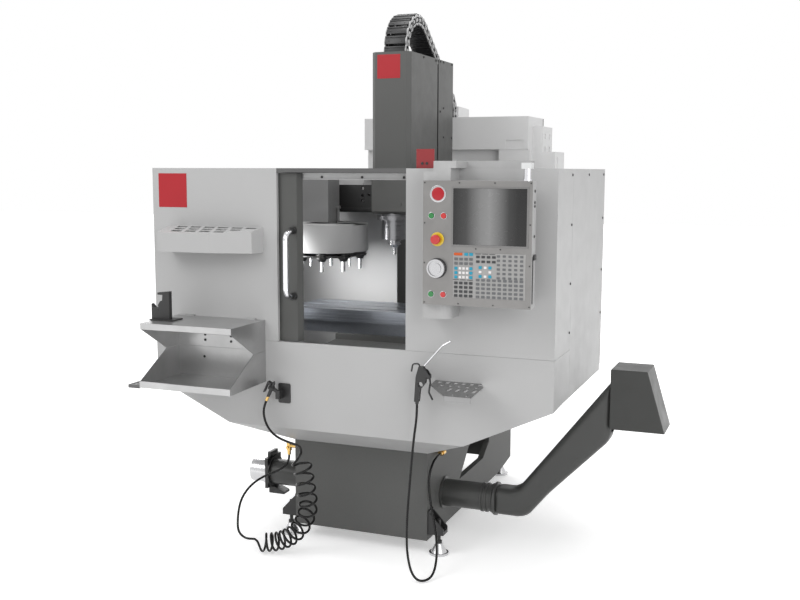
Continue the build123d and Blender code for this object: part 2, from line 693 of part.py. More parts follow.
def chip_chute():
    """Elbow and rising trough of folded sheet, with a clamp ring at the tube's end."""
    body = prism_y(chute_line(), AUGER_Y - CHUTE_HALF, AUGER_Y + CHUTE_HALF)
    low = AUGER_Z - AUGER_RADIUS + 2 * SHEET
    high = AUGER_Z + AUGER_RADIUS - 1 - SHEET
    inner = [(AUGER_RIGHT - 1, low), (AUGER_RIGHT + 158, low), (AUGER_RIGHT + 260, AUGER_Z + 65),
             (HOOD_LEFT + 31, 616), (HOOD_LEFT + 31, 885), (AUGER_RIGHT + 113, high), (AUGER_RIGHT - 1, high)]
    body -= prism_y(inner, AUGER_Y - CHUTE_HALF + SHEET, AUGER_Y + CHUTE_HALF - SHEET)
    ring = rod_x(AUGER_RIGHT, AUGER_RIGHT + 14, AUGER_Y, AUGER_Z, AUGER_RADIUS + 14)
    ring -= rod_x(AUGER_RIGHT - 1, AUGER_RIGHT + 15, AUGER_Y, AUGER_Z, AUGER_RADIUS - 7)
    lug = AUGER_Z + AUGER_RADIUS + 11
    ring += block(AUGER_RIGHT, AUGER_RIGHT + 14, AUGER_Y - 12, AUGER_Y + 12, lug, lug + 16)
    return body + ring


def chute_hood():
    """Discharge hood: a sheet box, open below, that throws the chips down to a bin."""
    top = 911
    low = 641
    outer = [(HOOD_LEFT, top), (HOOD_LEFT + 160, top), (HOOD_LEFT + 240, low), (HOOD_LEFT, low)]
    body = prism_y(outer, HOOD_FRONT, HOOD_REAR)
    inner = [(HOOD_LEFT + 4, top - 4), (HOOD_LEFT + 157, top - 4), (HOOD_LEFT + 237, low - 1), (HOOD_LEFT + 4, low - 1)]
    body -= prism_y(inner, HOOD_FRONT + SHEET, HOOD_REAR - SHEET)
    mouth = [(AUGER_RIGHT + 262, AUGER_Z + 62), (HOOD_LEFT + 30, 612), (HOOD_LEFT + 30, 891),
             (AUGER_RIGHT + 112, AUGER_Z + 64)]
    return body - prism_y(mouth, AUGER_Y - CHUTE_HALF - GAP, AUGER_Y + CHUTE_HALF + GAP)


# Column cover, cabinet and beam

def column_cover():
    """Side and rear sheets round the column's neck, open in front and above."""
    y0 = ENCLOSURE_DEPTH - 12
    y1 = y0 + 231
    low = ENCLOSURE_TOP - 10
    wide = TOWER_WIDTH / 2
    body = block(-wide, wide, y0, y1, low, TOWER_TOP)
    body -= block(-wide + SHEET, wide - SHEET, y0 - 1, y1 - SHEET, low - 1, TOWER_TOP + 1)
    body -= block(-wide + SHEET, wide - SHEET, y1 - 10, y1 + 1, NECK_TOP + 10, TOWER_TOP + 1)
    # Spacers that hold the cover on the column's neck
    for side in (-1, 1):
        x0, x1 = sorted((side * NECK_WIDTH / 2, side * (wide - SHEET)))
        for z in (NECK_TOP - 60, low + 80):
            body += block(x0, x1, column_front + 60, column_front + 110, z, z + 40)
    return body


def control_cabinet():
    """Electrical cabinet on the column's back, with its overhanging front box and two vent boxes."""
    y0 = cabinet_front
    y1 = cabinet_rear
    body = block(CABINET_LEFT, CABINET_RIGHT, y0 + 50, y1, CABINET_FLOOR, CABINET_TOP)
    body -= block(CABINET_LEFT + 4, CABINET_RIGHT - 4, y0 + 54, y1 + 1, CABINET_FLOOR + 4, CABINET_TOP - 4)
    body += block(CABINET_LEFT, CABINET_RIGHT, y0, y0 + 50, CABINET_TOP - 178, CABINET_TOP)
    body -= block(CABINET_LEFT + 4, CABINET_RIGHT - 4, y0 + 4, y0 + 55, CABINET_TOP - 174, CABINET_TOP - 4)
    body += block(CABINET_RIGHT - 165, CABINET_RIGHT + 10, y0 + 2, y0 + 50, CABINET_TOP - 260, CABINET_TOP - 178)
    grip = block(CABINET_RIGHT - 128, CABINET_RIGHT - 27, y0 - 1, y0 + 3, CABINET_TOP - 177, CABINET_TOP - 127)
    body -= grip
    body += block(CABINET_RIGHT, CABINET_RIGHT + 56, y0 + 100, y1, CABINET_TOP - 560, CABINET_TOP - 52)
    body += block(CABINET_RIGHT + 56, CABINET_RIGHT + 128, y0 + 100, y1, CABINET_TOP - 640, CABINET_TOP - 191)
    # Vent slots of the two boxes, on their outer sides
    for z in (CABINET_TOP - 90, CABINET_TOP - 160):
        for y in (y0 + 150, y0 + 250):
            body -= block(CABINET_RIGHT + 50, CABINET_RIGHT + 57, y, y + 20, z - 30, z)
    body -= block(CABINET_RIGHT + 122, CABINET_RIGHT + 129, y0 + 140, y0 + 160, CABINET_TOP - 300, CABINET_TOP - 220)
    # Feet that bolt it to the column's back
    for z in (CABINET_FLOOR + 60, ENCLOSURE_TOP - 260):
        body += block(-110, 110, column_front + COLUMN_DEPTH, y0 + 50, z, z + 90)
    # Box that the cable chain's fixed end stands beside
    anchor = [(y0 + 102, CABINET_TOP), (y1 - 26, CABINET_TOP), (y1 - 26, CABINET_TOP + 60), (y0 + 102, CABINET_TOP + 66)]
    return body + prism_x(anchor, -75, 45)


def cabinet_door():
    """Rear door of the cabinet: a folded pan with two hinge knuckles on its left edge."""
    y0 = cabinet_rear + GAP
    body = block(CABINET_LEFT, CABINET_RIGHT, y0, y0 + 20, CABINET_FLOOR, CABINET_TOP)
    body -= block(CABINET_LEFT + 3, CABINET_RIGHT - 3, y0 - 1, y0 + 17, CABINET_FLOOR + 3, CABINET_TOP - 3)
    body += block(CABINET_RIGHT - 60, CABINET_RIGHT - 40, y0 + 20, y0 + 34, 1350, 1470)
    for z in (CABINET_FLOOR + 150, CABINET_TOP - 210):
        body += rod_z(CABINET_LEFT, y0 + 20, z, z + 60, 8)
    return body


def pendant_beam():
    """Bracket on the enclosure's top edge, with a raised channel and the pendant's upper pivot."""
    z0 = ENCLOSURE_TOP
    body = block(425, 850, 24, 90, z0, z0 + 32) - block(428, 847, 27, 91, z0 - 1, z0 + 29)
    body += block(480, 577, -118, 60, z0 + 1, z0 + 30) - block(425, 847, 24, 90, z0 - 1, z0 + 29)
    body += block(437, 554, -118, -3, z0 - 49, z0 - 13) + block(480, 554, -118, -3, z0 - 13, z0 + 1)
    body += block(434, 560, 3, 24, z0, z0 + 3) + block(434, 560, 3, 23, z0 - 5, z0)
    # Lower pivot block, bolted to the front sheet
    low = PENDANT_TOP - PENDANT_HEIGHT
    body = body - rod_z(PIVOT_X, PIVOT_Y, z0 - 60, z0 - 20, 12 + GAP)
    lower = block(437, 556, -118, 0, low - 64, low - GAP)
    corner = lower.edges().filter_by(Axis.Z).sort_by(Axis.X)[-2:].sort_by(Axis.Y)[0]
    lower = fillet(corner, 45) - rod_z(PIVOT_X, PIVOT_Y, low - 30, low + 1, 12 + GAP)
    plate = block(352, 433, 21, 24, z0 - 5, z0 + 82)
    return Compound([body, lower, plate])


PIVOT_X = PENDANT_LEFT + 26
PIVOT_Y = -90


# Control pendant

def pendant_case():
    """Pendant housing with a bevelled back, the pivot pins, and recesses for what it carries."""
    x0 = PENDANT_LEFT
    x1 = x0 + PENDANT_WIDTH
    low = PENDANT_TOP - PENDANT_HEIGHT
    face = PENDANT_FACE
    back = face + PENDANT_DEPTH
    line = [(x0, face), (x1, face), (x1, back - 18), (x1 - 22, back), (x0, back)]
    body = prism_z(line, low, PENDANT_TOP - GAP)
    body -= screen_box(0)
    body -= keypad_box(0)
    for x, z, radius, depth in control_seats():
        body -= rod_y(x, face - 1, face + depth, z, radius)
    body += rod_z(PIVOT_X, PIVOT_Y, PENDANT_TOP - GAP, PENDANT_TOP + 20, 12)
    body += rod_z(PIVOT_X, PIVOT_Y, low - 24, low, 12)
    return body


def screen_box(inset):
    x0 = PENDANT_LEFT + 131
    return block(x0 + inset, x0 + 307 - inset, PENDANT_FACE - 1 + inset, PENDANT_FACE + 18 - inset,
                 PENDANT_TOP - 259 + inset, PENDANT_TOP - 31 - inset)


def keypad_box(inset):
    x0 = PENDANT_LEFT + 132
    return block(x0 + inset, x0 + 304 - inset, PENDANT_FACE - 1 + inset, PENDANT_FACE + 6 - inset,
                 PENDANT_TOP - 475 + inset, PENDANT_TOP - 291 - inset)


BUTTON_RADIUS = 11
BUTTON_TRAVEL = 4
LEFT_COLUMN = 37
RIGHT_COLUMN = 90
MIDDLE_COLUMN = 63
buttons = {
    "power_on": (LEFT_COLUMN, 143),
    "power_off": (RIGHT_COLUMN, 143),
    "cycle_start": (LEFT_COLUMN, 466),
    "feed_hold": (RIGHT_COLUMN, 466),
}


def control_seats():
    """Round holes in the pendant's face: x, z, radius and depth."""
    seats = [(PENDANT_LEFT + x, PENDANT_TOP - down, BUTTON_RADIUS + GAP, 22) for x, down in buttons.values()]
    seats.append((PENDANT_LEFT + MIDDLE_COLUMN, PENDANT_TOP - 239, 12 + GAP, 30))
    seats.append((PENDANT_LEFT + MIDDLE_COLUMN, PENDANT_TOP - 358, 10 + GAP, 30))
    return seats


def push_button(name):
    """Round cap on a stem."""
    across, down = buttons[name]
    x = PENDANT_LEFT + across
    z = PENDANT_TOP - down
    face = PENDANT_FACE
    return rod_y(x, face - 7, face + 14, z, BUTTON_RADIUS) + rod_y(x, face + 14, face + 17, z, 5)


def estop_button():
    """Mushroom head on its stem."""
    x = PENDANT_LEFT + MIDDLE_COLUMN
    z = PENDANT_TOP - 239
    face = PENDANT_FACE
    head = rod_y(x, face - 34, face - 18, z, 20)
    head = fillet(head.edges().sort_by(Axis.Y)[0], 6)
    return head + rod_y(x, face - 18, face + 20, z, 12)


def jog_handle():
    """Rotary handwheel with a rim and a finger dimple."""
    x = PENDANT_LEFT + MIDDLE_COLUMN
    z = PENDANT_TOP - 358
    face = PENDANT_FACE
    wheel = rod_y(x, face - 24, face - 1, z, 38) - rod_y(x, face - 25, face - 17, z, 32)
    wheel += rod_y(x, face - 21, face - 17, z, 22)
    return wheel + rod_y(x, face - 1, face + 20, z, 10)


def status_lamp():
    """Lamp on the pendant's top right corner: base, clear tube and cap."""
    x = PENDANT_LEFT + 427
    y = PENDANT_FACE + 40
    z = PENDANT_TOP - GAP
    body = rod_z(x, y, z, z + 8, 18) + rod_z(x, y, z + 8, z + 48, 15)
    return body + block(x - 21, x + 21, y - 18, y + 18, z + 48, z + 72)


# Table, saddle and head

def saddle():
    """Cross slide riding on the bed's ways, with a dovetail ridge for the table above."""
    y0 = spindle_y - 170
    y1 = spindle_y + 170
    wide = BED_WIDTH / 2
    low = BED_TOP + WAY_HEIGHT + GAP
    body = block(-wide - 30, wide + 30, y0, y1, low, SADDLE_TOP - 28)
    for side in (-1, 1):
        x0, x1 = sorted((side * (wide + GAP), side * (wide + 30)))
        body += block(x0, x1, y0 + 10, y1 - 10, BED_TOP - 8, low)
    body -= block(-wide + 90, wide - 90, y0 - 1, y1 + 1, low - 1, low + 45)
    ridge = [(spindle_y - 95, SADDLE_TOP - 28), (spindle_y + 95, SADDLE_TOP - 28), (spindle_y + 112, SADDLE_TOP - 4),
             (spindle_y - 112, SADDLE_TOP - 4)]
    return body + prism_x(ridge, -wide - 30, wide + 30)


def y_way_cover():
    """Telescopic cover plate in front of the saddle."""
    y1 = spindle_y - 170
    low = SADDLE_TOP - 60
    line = [(y1, low + 4), (y1 - 225, low - 6), (y1 - 225, low - 26), (y1 - 222, low - 26), (y1 - 222, low - 9),
            (y1, low + 1)]
    return prism_x(line, -BED_WIDTH / 2 - 30, BED_WIDTH / 2 + 30)


def table():
    """Long table with T-slots, a coolant gutter round its top and a grooved front edge."""
    wide = TABLE_LENGTH / 2
    y0 = spindle_y - TABLE_WIDTH / 2
    y1 = spindle_y + TABLE_WIDTH / 2
    low = TABLE_TOP - TABLE_THICK
    body = block(-wide, wide, y0, y1, low, TABLE_TOP)
    for index in (-1, 0, 1):
        y = spindle_y + index * SLOT_PITCH
        body -= block(-wide - 1, wide + 1, y - SLOT_WIDTH / 2, y + SLOT_WIDTH / 2, TABLE_TOP - 26, TABLE_TOP + 1)
        body -= block(-wide - 1, wide + 1, y - SLOT_WIDTH, y + SLOT_WIDTH, TABLE_TOP - 26, TABLE_TOP - 15)
    for z in (TABLE_TOP - 16, TABLE_TOP - 32, TABLE_TOP - 46):
        body -= block(-wide - 1, wide + 1, y0 - 1, y0 + 5, z - 3, z + 3)
    # Underside: two rails with a dovetail that wraps the saddle's ridge
    under = [(y0 + 40, low), (y1 - 40, low), (y1 - 40, SADDLE_TOP - 27.5), (y0 + 40, SADDLE_TOP - 27.5)]
    body += prism_x(under, -wide + 60, wide - 60)
    ridge = [(spindle_y - 95.5, SADDLE_TOP - 30), (spindle_y + 95.5, SADDLE_TOP - 30),
             (spindle_y + 112.5, SADDLE_TOP - 3.5), (spindle_y - 112.5, SADDLE_TOP - 3.5)]
    return body - prism_x(ridge, -wide, wide)


def head_casting():
    """Milling head: spindle nose box in front, ribbed slide plate behind."""
    front = spindle_y - HEAD_FRONT
    wide = TOWER_WIDTH / 2 - 2
    plate = ENCLOSURE_DEPTH - 15
    line = [(front + 14, HOUSING_TOP), (front, HOUSING_TOP + 14), (front, TOWER_BASE), (plate, TOWER_BASE),
            (plate, HOUSING_TOP + 30), (plate - 60, HOUSING_TOP)]
    body = prism_x(line, -wide, wide)
    back = TOWER_WIDTH / 2 - 12
    body += block(-back, back, plate, column_front - 36, HOUSING_TOP - 60, TOWER_BASE + 160)
    body -= rod_z(0, spindle_y, HOUSING_TOP - 1, TOWER_BASE + 1, CARTRIDGE_RADIUS)
    # Trucks that wrap the column's two ways, and the ballscrew nut's bracket
    for side in (-1, 1):
        x = side * WAY_PLACE
        truck = block(x - 24, x + 24, column_front - 36, column_front - 4, HOUSING_TOP - 60, TOWER_BASE + 160)
        body += truck - block(x - 13 - GAP, x + 13 + GAP, column_front - 22 - GAP, column_front,
                              HOUSING_TOP - 61, TOWER_BASE + 161)
    nut = block(-30, 30, column_front - 36, column_front + 30, HOUSING_TOP + 40, HOUSING_TOP + 100)
    body += nut - rod_z(0, SCREW_Y, HOUSING_TOP + 39, HOUSING_TOP + 101, 13)
    plug = rod_y(52, front - 2, front, HOUSING_TOP + 50, 9)
    return body + plug


SCREW_Y = column_front + 8


def z_screw():
    """Ballscrew of the head slide."""
    return rod_z(0, SCREW_Y, BED_TOP + 250 + GAP, NECK_TOP - 40 - GAP, 12.5)


def spindle_housing():
    """Cartridge under the head with a wide bolted flange."""
    y = spindle_y
    body = rod_z(0, y, NOSE_Z, HOUSING_TOP - GAP, HOUSING_RADIUS)
    body += rod_z(0, y, HOUSING_TOP - GAP, TOWER_BASE - 30, CARTRIDGE_RADIUS - GAP)
    body += rod_z(0, y, HOUSING_TOP - 28, HOUSING_TOP - 8, HOUSING_RADIUS + FLANGE_OUT)
    body -= rod_z(0, y, NOSE_Z - 1, TOWER_BASE - 29, SPINDLE_BORE + GAP)
    for index in range(6):
        angle = index * 60 + 30
        out = HOUSING_RADIUS + FLANGE_OUT / 2
        body -= rod_z(out * cos(radians(angle)), y + out * sin(radians(angle)), HOUSING_TOP - 29, HOUSING_TOP - 18, 6)
    return body


def spindle_shaft():
    """Hollow spindle with its tool taper."""
    y = spindle_y
    body = rod_z(0, y, NOSE_Z - 4, TOWER_BASE + 4, SPINDLE_BORE)
    body -= cone_z(0, y, NOSE_Z - 4.01, NOSE_Z - 4 + TAPER_LENGTH, TAPER_MOUTH, 12.3)
    return body - rod_z(0, y, NOSE_Z + 20, TOWER_BASE + 5, 11)


FLANGE_RADIUS = 31.75
FLANGE_GROOVE = 8
GROOVE_WIDTH = 6.6
GROOVE_RADIUS = 25


def tool_body(x, y, gauge, cutter, reach):
    """Tool holder with taper, V flange and collet nut, and the cutter in it."""
    body = cone_z(x, y, gauge, gauge + TAPER_LENGTH - 1, TAPER_MOUTH - 0.3, 12.1)
    body += rod_z(x, y, gauge + TAPER_LENGTH - 1, gauge + TAPER_LENGTH + 20, 7.5)
    body += rod_z(x, y, gauge - FLANGE_GROOVE, gauge - 2, FLANGE_RADIUS)
    body += rod_z(x, y, gauge - FLANGE_GROOVE - GROOVE_WIDTH, gauge - FLANGE_GROOVE, GROOVE_RADIUS)
    body += rod_z(x, y, gauge - 22, gauge - FLANGE_GROOVE - GROOVE_WIDTH, FLANGE_RADIUS)
    body += rod_z(x, y, gauge - 2, gauge, TAPER_MOUTH - 0.3)
    body += cone_z(x, y, gauge - 38, gauge - 22, 16, 25)
    return body + rod_z(x, y, gauge - 38 - reach, gauge - 38, cutter)


def spindle_tool():
    return tool_body(0, spindle_y, NOSE_Z - 4.3, 8, 36)


def spindle_motor():
    """Motor above the spindle with its lower bell, and a fan cap."""
    y0 = spindle_y - 50
    y1 = spindle_y + 125
    z0 = TOWER_BASE + 4.5
    bell = TOWER_WIDTH / 2 - 24
    case = bell - 6
    body = block(-bell, bell, y0, y1, z0, z0 + 24) - rod_z(0, spindle_y, z0 - 1, z0 + 40, 44)
    for side in (-1, 1):
        x = side * (bell - 12)
        body += block(x - 8, x + 8, y0, y1, z0 + 24, z0 + 130)
    body += block(-bell, bell, y0, y1, z0 + 130, z0 + 150)
    body += block(-case, case, y0 + 4, y1 - 5, z0 + 150, z0 + 390)
    feet = block(-bell, bell, y0, y1, TOWER_BASE, z0)
    body += feet - rod_z(0, spindle_y, TOWER_BASE - 1, z0 + 1, 44)
    # Cooling slots along the case
    for index in range(8):
        y = y0 + 10 + index * 22
        for x0, x1 in ((-case - 1, 6 - case), (case - 6, case + 1)):
            body -= block(x0, x1, y, y + 10, z0 + 165, z0 + 375)
    return body


def head_cover():
    """Tall sheet cover of the head: chamfered front corners, open behind and below."""
    front = spindle_y - HEAD_FRONT
    back = front + HEAD_COVER_DEPTH
    wide = TOWER_WIDTH / 2
    bevel = 21
    line = [(-wide, back), (-wide, front + bevel), (-wide + bevel, front), (wide - bevel, front),
            (wide, front + bevel), (wide, back)]
    low = TOWER_BASE + 0.3
    body = prism_z(line, low, TOWER_TOP)
    inner = [(-wide + SHEET, back + 1), (-wide + SHEET, front + bevel + 1), (-wide + bevel + 1, front + SHEET),
             (wide - bevel - 1, front + SHEET), (wide - SHEET, front + bevel + 1), (wide - SHEET, back + 1)]
    body -= prism_z(inner, low - 1, TOWER_TOP - SHEET)
    return body - block(CHAIN_LEFT - 4, CHAIN_RIGHT + 4, chain_front() - 36, back + 1, TOWER_TOP - 4, TOWER_TOP + 1)


# Cable chain

CHAIN_LEFT = -72
CHAIN_RIGHT = 45
CHAIN_THICK = 58
CHAIN_BEND = 170


def chain_front():
    return spindle_y + 52


def chain_path():
    """Centre line: up out of the head cover, over in an arc, and down to the cabinet's top."""
    x = (CHAIN_LEFT + CHAIN_RIGHT) / 2
    y0 = chain_front()
    z0 = TOWER_TOP + 15
    fall = radians(36)
    points = [(x, y0, TOWER_TOP - 60), (x, y0, z0)]
    centre_y = y0 + CHAIN_BEND
    turn = (centre_y + CHAIN_BEND * sin(fall), z0 + CHAIN_BEND * cos(fall))
    rise = Line(*points)
    bend = ThreePointArc((x, y0, z0),
                         (x, centre_y - CHAIN_BEND * cos(radians(63)), z0 + CHAIN_BEND * sin(radians(63))),
                         (x, turn[0], turn[1]))
    end_y = cabinet_front + 54
    corner_z = turn[1] - (end_y - turn[0]) * tan(fall)
    fold = 95
    cut = fold * tan((pi / 2 - fall) / 2)
    before = (x, end_y - cut * cos(fall), corner_z + cut * sin(fall))
    after = (x, end_y, corner_z - cut)
    run = Line((x, turn[0], turn[1]), before)
    drop = TangentArc(before, after, tangent=(0, cos(fall), -sin(fall)))
    tail = Line(after, (x, end_y, CABINET_TOP + GAP))
    return Wire([rise, bend, run, drop, tail])


def cable_chain():
    """Outer shape of the chain that carries the head's cables."""
    path = chain_path()
    start = Plane(origin=path @ 0, x_dir=(1, 0, 0), z_dir=(0, 0, 1))
    return sweep(start * Rectangle(CHAIN_RIGHT - CHAIN_LEFT, CHAIN_THICK), path=path)


# Tool changer

def changer_beam():
    """Plate bolted to the rear wall, the rail that the changer slides on, and a light bracket."""
    y0 = spindle_y + BEAM_SETBACK
    y1 = ENCLOSURE_DEPTH - SHEET
    left = CHANGER_X - 130
    right = -TOWER_WIDTH / 2 - 13
    body = block(left, right, y0, y0 + 14, 1566, 1706)
    body += block(left, CHANGER_X + 100, y0 + 14, y1, 1640, 1656)
    for x, z in ((right - 104, 1688), (right - 104, 1650), (right - 104, 1626), (right - 68, 1655), (right - 30, 1644)):
        body -= rod_y(x, y0 - 1, y0 + 15, z, 8)
    body += block(CHANGER_X + 51, CHANGER_X + 164, y0, y0 + 5, 1706, 1768)
    body += block(CHANGER_X + 51, CHANGER_X + 164, y0, y1, 1768, 1773)
    return body + block(left, right, y0 - 12, y0, 1576, 1588)


def changer_housing():
    """Box arm that hangs the changer from its rail and holds the carousel's motor."""
    x = CHANGER_X
    y0 = spindle_y + BEAM_SETBACK
    front = spindle_y - 82
    back = spindle_y + 52
    body = block(x - 105, x + 49, front, back, CAROUSEL_TOP + 8, 1738)
    body -= block(x - 101, x + 45, front + 4, back - 4, CAROUSEL_TOP + 12, 1734)
    body += block(x - 60, x + 30, back, y0 - 12 - GAP, 1568, 1735)
    body += rod_z(x + 57, spindle_y + 20, CAROUSEL_TOP + 8, 1600, 7)
    body += block(x + 49, x + 65, spindle_y + 6, spindle_y + 34, 1586, 1600)
    shaft = rod_z(x, spindle_y, CAROUSEL_BOTTOM - 24, CAROUSEL_TOP + 8, 22)
    return body + shaft


def wedge(radius, angle0, angle1, z0, z1):
    """Pie slice about the carousel's axis, from one angle to another in degrees."""
    points = [(CHANGER_X, spindle_y)]
    steps = 6
    for index in range(steps + 1):
        angle = radians(angle0 + (angle1 - angle0) * index / steps)
        points.append((CHANGER_X + radius * cos(angle), spindle_y + radius * sin(angle)))
    return prism_z(points, z0, z1)


def ring_z(outer, inner, z0, z1):
    return rod_z(CHANGER_X, spindle_y, z0, z1, outer) - rod_z(CHANGER_X, spindle_y, z0 - 1, z1 + 1, inner)


def changer_cover():
    """Round skirt about the carousel, open where the shutter is, with a slotted top."""
    body = rod_z(CHANGER_X, spindle_y, CAROUSEL_BOTTOM, CAROUSEL_TOP, CAROUSEL_RADIUS)
    body -= rod_z(CHANGER_X, spindle_y, CAROUSEL_BOTTOM - 1, CAROUSEL_TOP - 3, CAROUSEL_RADIUS - 3)
    body -= wedge(2 * CAROUSEL_RADIUS, -SHUTTER_ANGLE, SHUTTER_ANGLE, CAROUSEL_BOTTOM - 1, CAROUSEL_TOP - 3)
    throat = HOUSING_RADIUS + 20
    body -= block(CHANGER_X + 60, CHANGER_X + CAROUSEL_RADIUS + 5, spindle_y - throat, spindle_y + throat,
                  CAROUSEL_TOP - 4, CAROUSEL_TOP + 1)
    body -= rod_z(CHANGER_X, spindle_y, CAROUSEL_TOP - 4, CAROUSEL_TOP + 1, 22)
    hanger = ring_z(60, 22, CAROUSEL_TOP, CAROUSEL_TOP + 8) & block(CHANGER_X - 60, CHANGER_X + 39, spindle_y - 60,
                                                                    spindle_y + 60, 0, 3000)
    return body + hanger


def changer_shutter():
    """Curved shutter inside the skirt that closes its opening."""
    body = ring_z(CAROUSEL_RADIUS - 4, CAROUSEL_RADIUS - 7, CAROUSEL_BOTTOM + 2, CAROUSEL_TOP - 5)
    return body & wedge(2 * CAROUSEL_RADIUS, -SHUTTER_ANGLE - 3, SHUTTER_ANGLE + 3, CAROUSEL_BOTTOM, CAROUSEL_TOP)


def carousel_disc():
    """Turning disc with ten forked pockets and its hub."""
    gauge = CAROUSEL_BOTTOM - 6
    fork_low = gauge - FLANGE_GROOVE - GROOVE_WIDTH + GAP
    body = rod_z(CHANGER_X, spindle_y, fork_low, gauge - FLANGE_GROOVE - GAP, CAROUSEL_RADIUS - 9)
    body += rod_z(CHANGER_X, spindle_y, fork_low - 10, gauge - 2, POCKET_CIRCLE - 40)
    body += cone_z(CHANGER_X, spindle_y, gauge - 2, gauge + 30, 110, 60)
    for index in range(POCKETS):
        angle = radians(index * 360 / POCKETS)
        x = CHANGER_X + POCKET_CIRCLE * cos(angle)
        y = spindle_y + POCKET_CIRCLE * sin(angle)
        body -= rod_z(x, y, gauge - 40, gauge + 40, GROOVE_RADIUS + GAP)
        out = POCKET_CIRCLE + 20
        mouth = Pos(CHANGER_X + out * cos(angle), spindle_y + out * sin(angle), gauge)
        body -= mouth * Rot(0, 0, degrees(angle)) * Box(44, 2 * GROOVE_RADIUS - 4, 60)
    body -= rod_z(CHANGER_X, spindle_y, gauge - 40, gauge + 40, 22 + GAP)
    body += ring_z(45, 22 + GAP, gauge + 30, CAROUSEL_BOTTOM + 39)
    return body


def carousel_tools():
    """Tool holders with cutters in every pocket but the one that faces the spindle."""
    tools = []
    cutters = [9, 6, 11, 9, 8, 10, 7, 9, 10]
    for index in range(1, POCKETS):
        angle = radians(index * 360 / POCKETS)
        x = CHANGER_X + POCKET_CIRCLE * cos(angle)
        y = spindle_y + POCKET_CIRCLE * sin(angle)
        tools.append(tool_body(x, y, CAROUSEL_BOTTOM - 6, cutters[index - 1], 50))
    return Compound(tools)


# Hoses and fittings

def pipe(points, radius, spread):
    """Round hose along straight runs joined by arcs as wide as the runs allow."""
    vectors = [Vector(*point) for point in points]
    radii = []
    for before, here, after in zip(vectors, vectors[1:], vectors[2:]):
        turn = (here - before).get_angle(after - here)
        shorter = min((here - before).length, (after - here).length)
        radii.append(spread * shorter / tan(radians(turn) / 2))
    path = FilletPolyline(*points, radius=radii)
    print("hose radii", [round(value) for value in radii], "length", round(path.length))
    return sweep(Plane(origin=path @ 0, z_dir=path % 0) * Circle(radius), path=path)


gun_hose_route = [
    (GUN_X - 14, GUN_Y, GUN_FOOT), (GUN_X - 14, GUN_Y, 728), (385, -82, 640), (381, -94, 550), (374, -100, 440),
    (366, -102, 330), (361, -102, 225), (362, -102, 142), (372, -104, 82), (388, -110, 40), (416, -115, 13),
    (446, -98, 9), (462, -56, 14), (463, -8, 46), (452, 38, 96), (432, 84, 146), (400, 138, 206), (370, 176, 268),
    (354, 196, 330), (350, 214, 388), (354, 250, 436), (362, 288, 456), (362, 328, 456)]


def gun_hose():
    return pipe(gun_hose_route, HOSE / 2, 0.45)


hose_lead_route = [
    nozzle_point(NOZZLE_LENGTH), nozzle_point(NOZZLE_LENGTH + 36), (-368, -47, 655), (-346, -54, 608),
    (-304, -59, 570), (-254, -60, 541), (-210, -60, 508)]


def hose_lead():
    return pipe(hose_lead_route, HOSE / 2, 0.45)


coil_route = [
    (-210, -60, 508), (-172, -60, 479.5), (-157, -60, 407), (-148, -54, 330), (-144, -42, 255), (-172, -20, 185),
    (-212, -8, 122), (-264, -14, 78), (-318, -26, 56), (-370, -42, 50), (-418, -64, 50)]


def hose_coil():
    return pipe(coil_route, COIL / 2, 0.45)


hose_tail_route = [
    (-418, -64, 50), (-461.2, -83.8, 50), (-496, -80, 96), (-518, -44, 152), (-530, 4, 220), (-520, 66, 268),
    (-490, 130, 300), (-448, 182, 316), (-412, 220, 334), (-390, 240, 366), (-390, 240, 400)]


def hose_tail():
    return pipe(hose_tail_route, HOSE / 2, 0.45)


def air_fittings():
    """Brass unions where the two hoses end: one on each side of the base."""
    x, y, z = hose_tail_route[-1]
    left = rod_z(x, y, z, z + 20, 9) + rod_z(x, y, z + 20, z + 58, 13)
    left += rod_x(x, -base_half, y, z + 44, 10) + rod_y(x, y - 24, y, z + 38, 6)
    x, y, z = gun_hose_route[-1]
    right = rod_y(x, y, y + 22, z, 9) + rod_y(x, y + 22, y + 50, z, 13)
    right += rod_x(base_half, x, y + 36, z, 9)
    return Compound([left, right])


